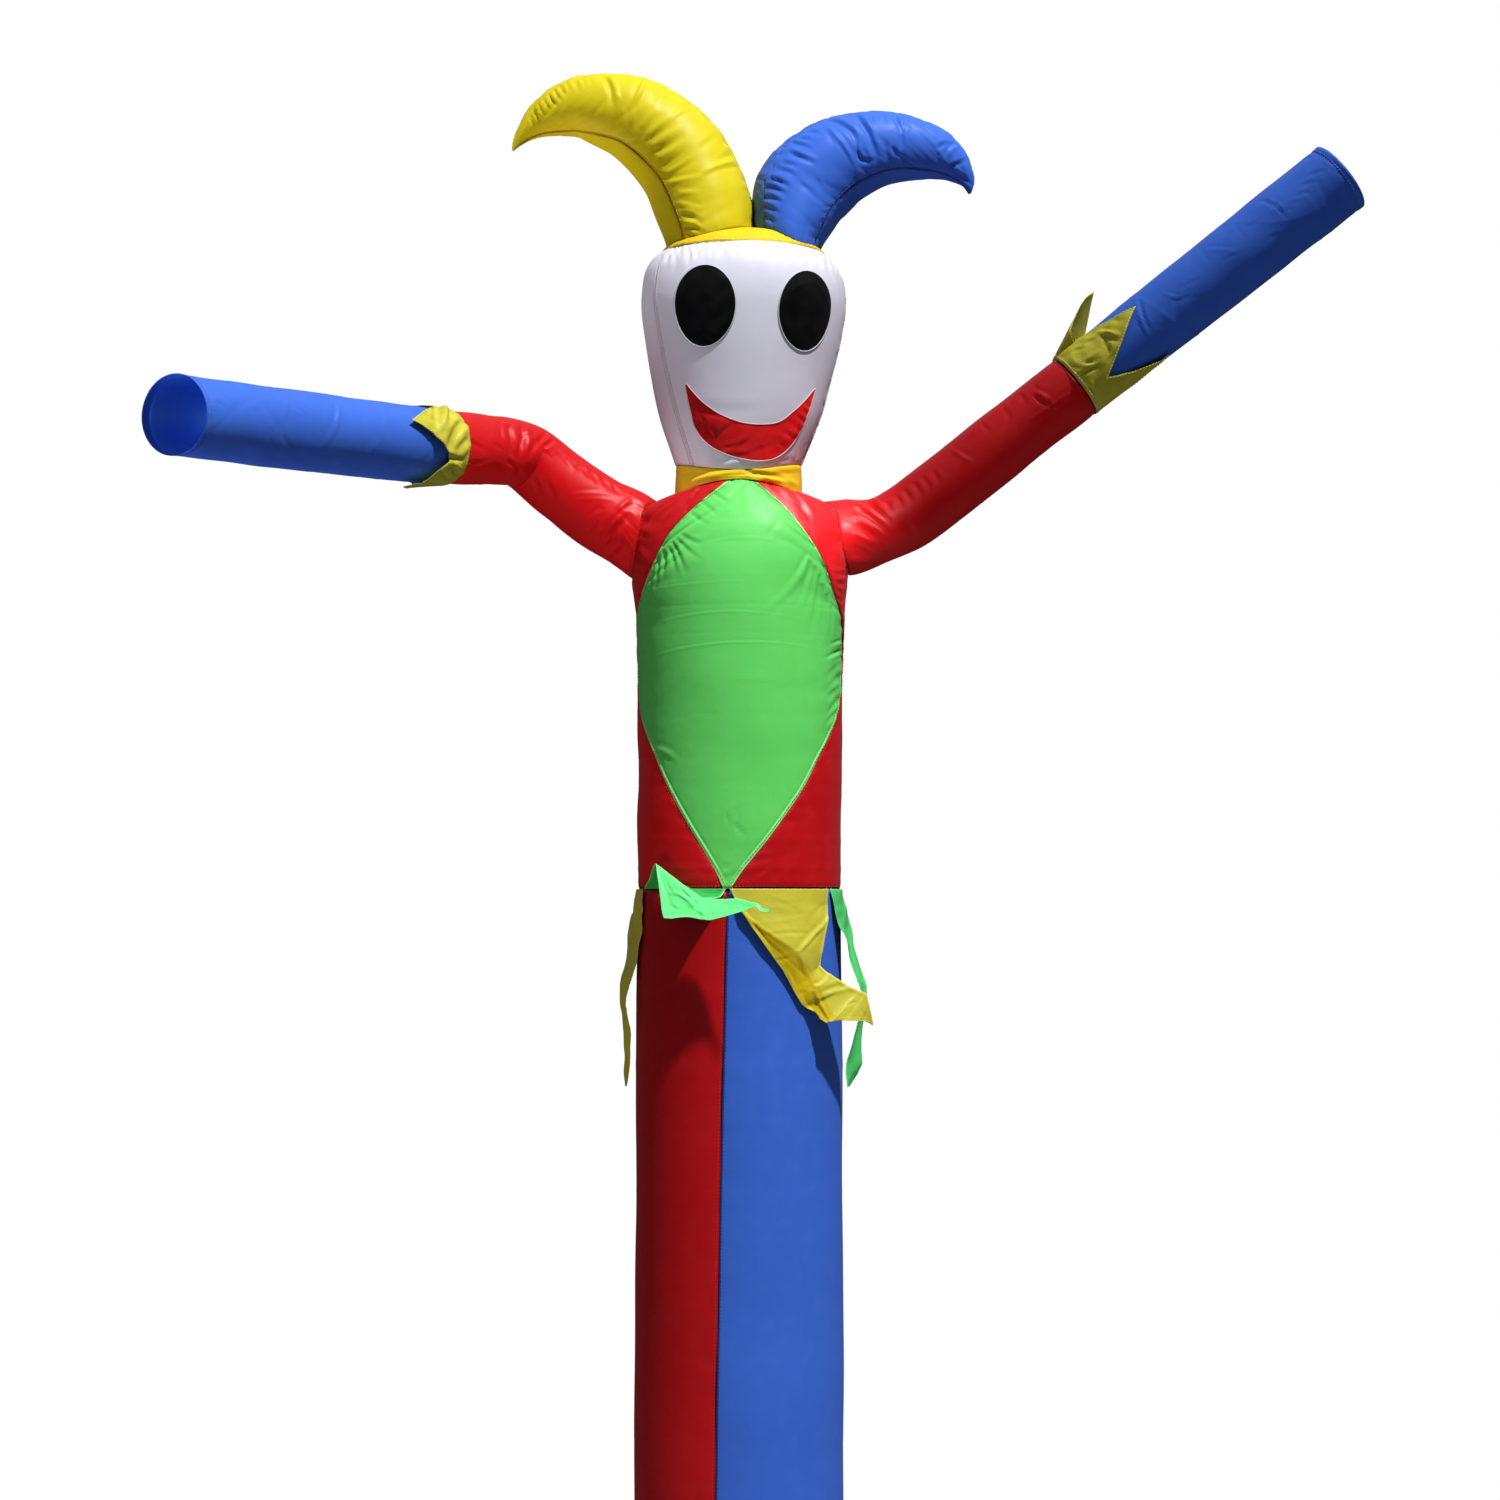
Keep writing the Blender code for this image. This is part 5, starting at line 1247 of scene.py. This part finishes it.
def lay_on_face(points, gap):
    """Points moved along the way to the head's axis until they lie just over the face."""
    face = PIECES["face_white"].data
    tree = BVHTree.FromPolygons([tuple(v.co) for v in face.vertices], [tuple(p.vertices) for p in face.polygons])
    laid = []
    for point in points.reshape(-1, 3):
        way = np.array([AXIS[0] + FACE_AXIS - point[0], AXIS[1] - point[1], 0])
        way = way / np.linalg.norm(way)
        hit = tree.ray_cast(Vector(point - way * 40) * MM, Vector(way))[0]
        laid.append(point if hit is None else np.array(hit) / MM - way * gap)
    return np.array(laid).reshape(points.shape)


def patch(name, kind, points, seed):
    """A piece sewn flat on the face."""
    laid = lay_on_face(points, 0.75)
    left, right, low, high = spans(laid)
    relief = crumples(left, low, seed, 26, 0.7, 2.2) + waves(laid, seed, 0.5, 45) + placed_folds(laid, name)
    inner = np.clip(np.minimum(np.minimum(left, right), np.minimum(low, high)) / 6, 0, 1)
    cloth(name, laid, np.maximum(0.4 + relief * inner, -0.1), kind, wall=0.5, rests_on=["face_white"])


def eye(side, seed):
    angle, height, half_angle, half_height = EYE[side]
    turn = np.pi * np.linspace(0.02, 0.98, 44)
    station = station_at(HEAD, height - half_height * np.cos(turn))
    across = angle + (half_angle * np.sin(turn))[:, None] * np.linspace(-1, 1, 37)
    patch("eye_" + side, "black", body(HEAD, station[:, None] + 0 * across, across), seed)


def mouth(seed):
    """The crescent, from its left corner to its right one."""
    across, bottom, top = fields(rows_at(MOUTH, np.linspace(0, len(MOUTH) - 1, 141)), 3)
    height = bottom + (top - bottom) * np.linspace(0, 1, 23)[:, None]
    angle = MOUTH_ANGLE + across + 0 * height
    patch("mouth_red", "scarlet_and_painted_light", body(HEAD, station_at(HEAD, height), angle), seed)


def border(name, around, colour):
    """A close row of satin stitches round a piece on the face, as a fine cord along its edge."""
    grid = GRIDS[around]
    line = np.concatenate([grid[0], grid[1:, -1], grid[-1, -2::-1], grid[-2::-1, 0]])
    far = lengths(line)
    at = np.linspace(0, far[-1], max(12, round(far[-1] / 3)) + 1)[:-1]
    line = np.stack([np.interp(at, far, line[:, i]) for i in range(3)], -1)
    along = unit(np.roll(line, -1, 0) - np.roll(line, 1, 0))
    out = (line - (AXIS + np.array([FACE_AXIS, 0, 0]))) * (1, 1, 0)
    out = unit(out - along * (out * along).sum(-1, keepdims=True))
    side = np.cross(along, out)
    turn = np.linspace(0, 2 * np.pi, 7)[:-1]
    grid = np.stack([line + BORDER_RADIUS * (out * np.cos(t) + side * np.sin(t)) for t in turn], 1)
    mesh = mesh_from_grid(name, np.concatenate([grid, grid[:1]]), True)
    clean(mesh, weld=True)
    mesh.materials.append(THREADS[colour])
    piece = put(name, mesh)
    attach(piece, "root")


# ---------------------------------------------------------------- materials


def add(tree, kind, inputs=(), **settings):
    """A node with its settings, and its inputs set or linked."""
    made = tree.nodes.new(kind)
    for name, value in settings.items():
        setattr(made, name, value)
    for socket, value in dict(inputs).items():
        if isinstance(value, bpy.types.NodeSocket):
            tree.links.new(value, made.inputs[socket])
        else:
            made.inputs[socket].default_value = value
    return made


def blend(tree, share, low, high):
    """The output of a node that mixes two colours."""
    return add(tree, "ShaderNodeMix", {0: share, 6: low, 7: high}, data_type="RGBA").outputs[2]


def new_material(name):
    """A material, its node tree and its Principled shader."""
    made = bpy.data.materials.new(name)
    made.use_nodes = True
    return made, made.node_tree, made.node_tree.nodes["Principled BSDF"]


def nylon(name, colour, shade, fade, seam, deep=None, roughness=0.42, specular=0.16, crumple=0.12):
    """Thin coated nylon: crossed threads, slight crumples, dye that is uneven and a little faded, and painted shade
    or painted backlight where its deep attribute says so.
    """
    made, tree, shader = new_material(name)
    place_in = add(tree, "ShaderNodeTexCoord").outputs["Object"]
    cut = add(tree, "ShaderNodeUVMap", uv_map="cut").outputs["UV"]
    slow = add(tree, "ShaderNodeTexNoise", {"Vector": place_in, "Scale": 5.0, "Detail": 3.0})
    fine = add(tree, "ShaderNodeTexNoise", {"Vector": place_in, "Scale": 42.0, "Detail": 4.0})
    dye = blend(tree, slow.outputs["Fac"], (*shade, 1), (*colour, 1))
    worn = add(tree, "ShaderNodeMapRange", {0: fine.outputs["Fac"], 1: 0.5, 2: 0.78, 3: 0.0, 4: 0.18})
    top = blend(tree, worn.outputs[0], dye, (*fade, 1))
    # Painted shade: the deep attribute mixes in the deep tone, which stands for cloth in shade or cloth lit through
    # from behind.
    painted_shade = add(tree, "ShaderNodeAttribute", attribute_name="deep").outputs["Fac"]
    dyed_with_painted_shade = blend(tree, painted_shade, top, (*(deep or shade), 1))
    doubled = add(tree, "ShaderNodeAttribute", attribute_name="seam").outputs["Fac"]
    tree.links.new(blend(tree, doubled, dyed_with_painted_shade, (*seam, 1)), shader.inputs["Base Color"])
    gloss = add(tree, "ShaderNodeMapRange",
                {0: fine.outputs["Fac"], 1: 0.3, 2: 0.7, 3: roughness - 0.06, 4: roughness + 0.08})
    tree.links.new(gloss.outputs[0], shader.inputs["Roughness"])
    shader.inputs["Sheen Weight"].default_value = 0.02
    shader.inputs["Sheen Roughness"].default_value = 0.4
    shader.inputs["Specular IOR Level"].default_value = specular
    per_metre = 0.314 / NYLON_THREAD
    warp = add(tree, "ShaderNodeTexWave", {"Vector": cut, "Scale": per_metre}, bands_direction="X")
    weft = add(tree, "ShaderNodeTexWave", {"Vector": cut, "Scale": per_metre}, bands_direction="Y")
    weave = add(tree, "ShaderNodeMath", {0: warp.outputs["Fac"], 1: weft.outputs["Fac"]}, operation="ADD")
    threads = add(tree, "ShaderNodeBump", {"Height": weave.outputs[0], "Strength": 0.12, "Distance": 0.0002})
    crease = add(tree, "ShaderNodeTexNoise", {"Vector": place_in, "Scale": 26.0, "Detail": 5.0, "Roughness": 0.62})
    bump = add(tree, "ShaderNodeBump", {"Height": crease.outputs["Fac"], "Strength": crumple, "Distance": 0.004,
                                        "Normal": threads.outputs["Normal"]})
    tree.links.new(bump.outputs["Normal"], shader.inputs["Normal"])
    return made


def thread(name, colour):
    """Polyester sewing thread with its twist."""
    made, tree, shader = new_material(name)
    place_in = add(tree, "ShaderNodeTexCoord").outputs["Object"]
    twist = add(tree, "ShaderNodeTexNoise", {"Vector": place_in, "Scale": 900.0, "Detail": 1.0})
    dark = tuple(c * 0.6 for c in colour)
    tree.links.new(blend(tree, twist.outputs["Fac"], (*dark, 1), (*colour, 1)), shader.inputs["Base Color"])
    bump = add(tree, "ShaderNodeBump", {"Height": twist.outputs["Fac"], "Strength": 0.4, "Distance": 0.0002})
    tree.links.new(bump.outputs["Normal"], shader.inputs["Normal"])
    shader.inputs["Roughness"].default_value = 0.5
    return made


# ---------------------------------------------------------------- stitching


def stitch_tree():
    """Geometry Nodes that set a stitch at every pitch along lines."""
    tree = bpy.data.node_groups.new("stitch_row", "GeometryNodeTree")
    face = tree.interface
    face.new_socket("Geometry", in_out="INPUT", socket_type="NodeSocketGeometry")
    for name, value in STITCH.items():
        face.new_socket(name, in_out="INPUT", socket_type="NodeSocketFloat").default_value = value
    face.new_socket("Finish", in_out="INPUT", socket_type="NodeSocketMaterial")
    face.new_socket("Geometry", in_out="OUTPUT", socket_type="NodeSocketGeometry")
    given = tree.nodes.new("NodeGroupInput").outputs
    curve = add(tree, "GeometryNodeMeshToCurve", {"Mesh": given["Geometry"]})
    spaced = add(tree, "GeometryNodeResampleCurve", {"Curve": curve.outputs[0], "Length": given["Pitch"]},
                 mode="LENGTH")
    bead = add(tree, "GeometryNodeMeshUVSphere", {"Segments": 4, "Rings": 3, "Radius": 0.5})
    size = add(tree, "ShaderNodeCombineXYZ",
               {"X": given["Thread"], "Y": given["Thread"], "Z": given["Stitch Length"]})
    one = add(tree, "GeometryNodeTransform", {"Geometry": bead.outputs[0], "Scale": size.outputs[0]})
    along = add(tree, "GeometryNodeInputTangent")
    turn = add(tree, "FunctionNodeAlignRotationToVector", {"Vector": along.outputs[0]}, axis="Z")
    row = add(tree, "GeometryNodeInstanceOnPoints",
              {"Points": spaced.outputs[0], "Instance": one.outputs[0], "Rotation": turn.outputs[0]})
    real = add(tree, "GeometryNodeRealizeInstances", {"Geometry": row.outputs[0]})
    finish = add(tree, "GeometryNodeSetMaterial", {"Geometry": real.outputs[0], "Material": given["Finish"]})
    end = tree.nodes.new("NodeGroupOutput")
    tree.links.new(finish.outputs[0], end.inputs[0])
    return tree


def sew(colour, lines, material, tree):
    """All the stitches of one colour, as one plain mesh."""
    name = "stitching_" + colour
    mesh = bpy.data.meshes.new(name)
    points, edges = [], []
    for line in lines:
        first = len(points)
        points.extend(map(tuple, line * MM))
        edges.extend((i, i + 1) for i in range(first, len(points) - 1))
    mesh.from_pydata(points, edges, [])
    made = put(name, mesh)
    rows = made.modifiers.new("rows", "NODES")
    rows.node_group = tree
    given = {**STITCH, "Finish": material}
    for socket in tree.interface.items_tree:
        if socket.name in given:
            rows[socket.identifier] = given[socket.name]
    bpy.context.view_layer.update()
    graph = bpy.context.evaluated_depsgraph_get()
    plain = bpy.data.meshes.new_from_object(made.evaluated_get(graph))
    made.modifiers.clear()
    made.data = plain
    plain.name = name
    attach(made, "root")


# ---------------------------------------------------------------- floor and light


def floor():
    mesh = bpy.data.meshes.new("floor")
    work = bmesh.new()
    bmesh.ops.create_circle(work, cap_ends=True, segments=96, radius=FLOOR_RADIUS)
    work.to_mesh(mesh)
    work.free()
    made = put("floor", mesh)
    made.location = (0, 0, -FLOOR_GAP)
    pale, _, shader = new_material("pale_floor")
    shader.inputs["Base Color"].default_value = (0.7, 0.7, 0.7, 1)
    shader.inputs["Roughness"].default_value = 0.8
    mesh.materials.append(pale)
    made.visible_glossy = False
    return made


def lamp(name, at, facing, size, power, tint=(1, 1, 1)):
    """A soft round lamp; facing is the rotation that aims it."""
    data = bpy.data.lights.new(name, "AREA")
    data.shape = "DISK"
    data.size, data.energy, data.color = size, power, tint
    made = put(name, data)
    made.location = at
    made.rotation_euler = facing.to_euler()
    made.visible_camera = False
    return made


def only(made, pieces, link="INCLUDE"):
    """Makes a lamp light only some pieces, or all but those."""
    chosen = bpy.data.collections.new("linked_to_" + made.name)
    for piece in pieces:
        chosen.objects.link(piece)
    for entry in chosen.collection_objects:
        entry.light_linking.link_state = link
    made.light_linking.receiver_collection = chosen


def light(ground):
    """The lamps of the table, one inside the left forearm and one close by the right shoulder."""
    lit = {**PIECES, "floor": ground}
    with_own_key = [piece for name in ("key_on_arm", "key_on_left", "key_on_floor") for piece in LAMPS[name][6]]
    for name, (turn, rise, far, size, power, tint, pieces, glossy) in LAMPS.items():
        t, r = math.radians(turn), math.radians(rise)
        way = Vector((math.sin(t) * math.cos(r), -math.cos(t) * math.cos(r), math.sin(r)))
        made = lamp(name, metres(0, 0, AIM_HEIGHT) + way * far, way.to_track_quat("Z", "Y"), size, power, tint)
        made.visible_glossy = glossy
        if pieces is None:
            only(made, [lit[piece] for piece in with_own_key], "EXCLUDE")
        elif pieces:
            only(made, [lit[piece] for piece in pieces])

    last = len(ARM["left"]) - 1
    tip, before = (metres(*row[:3]) for row in rows_at(ARM["left"], [last, last - 0.3]))
    way = (tip - before).normalized()
    inner = lamp("into_mouth", tip - way * MOUTH_LIGHT[0], way.to_track_quat("-Z", "Y"), *MOUTH_LIGHT[1:])
    only(inner, [lit["forearm_blue_left"]])

    at = metres(*SHOULDER_LAMP_AT)
    near = lamp("near_shoulder", at, (metres(*SHOULDER) - at).to_track_quat("-Z", "Y"), *SHOULDER_LIGHT)
    near.data.spread = math.radians(SHOULDER_SPREAD)
    only(near, [lit["sleeve_red_right"], lit["torso_red_right"]])


def studio():
    """White behind the figure, and round it a soft light that is brightest overhead."""
    world = bpy.data.worlds.new("studio")
    bpy.context.scene.world = world
    world.use_nodes = True
    tree = world.node_tree
    tree.nodes.clear()
    seen = add(tree, "ShaderNodeLightPath").outputs["Is Camera Ray"]
    way = add(tree, "ShaderNodeSeparateXYZ", {0: add(tree, "ShaderNodeTexCoord").outputs["Generated"]})
    rise = add(tree, "ShaderNodeMapRange", {0: way.outputs["Z"], 1: 0.0, 2: 0.9, 3: AMBIENT[0], 4: AMBIENT[1]})
    around = add(tree, "ShaderNodeBackground", {"Color": (0.95, 0.97, 1.0, 1), "Strength": rise.outputs[0]})
    behind = add(tree, "ShaderNodeBackground", {"Color": (1, 1, 1, 1), "Strength": 1.0})
    both = add(tree, "ShaderNodeMixShader", {0: seen, 1: around.outputs[0], 2: behind.outputs[0]})
    add(tree, "ShaderNodeOutputWorld", {"Surface": both.outputs[0]})


# ---------------------------------------------------------------- the figure

MATERIALS = {kind: nylon(kind + "_nylon", *tones, **finish) for kind, (_, *tones, finish) in NYLON.items()}
THREADS = {colour: thread(colour + "_thread", tone) for colour, tone in THREAD.items()}

leg()
for make in (sleeve, forearm, cuff):
    make("left")
    make("right")
bib()
torso()
head()
horn("yellow", "bright_yellow", 110)
horn("blue", "blue", 140)
eye("left", 261)
eye("right", 262)
mouth(77)
border("eye_left_edge", "eye_left", "pale")
border("eye_right_edge", "eye_right", "pale")
border("mouth_edge", "mouth_red", "rose")
# Painted shade: the green front up to station 2, and the whole green side pennant at half strength, take the deep
# tone; the yellow front takes it on its leaning strip.
pennant("green_front", 301, fine=16, over=GREEN_LAYERS, shaded=2.0)
pennant("yellow_front", 302, fine=18, over=YELLOW_LAYERS, leaning=LEANING)
pennant("green_side", 303, curl=3.5, painted_shade=0.5)
pennant("yellow_side", 304, curl=2.5)
pennant("yellow_back", 305)
pennant("green_back", 306)
rows = stitch_tree()
for colour, lines in STITCH_LINES.items():
    sew(colour, lines, THREADS[colour], rows)

light(floor())
studio()
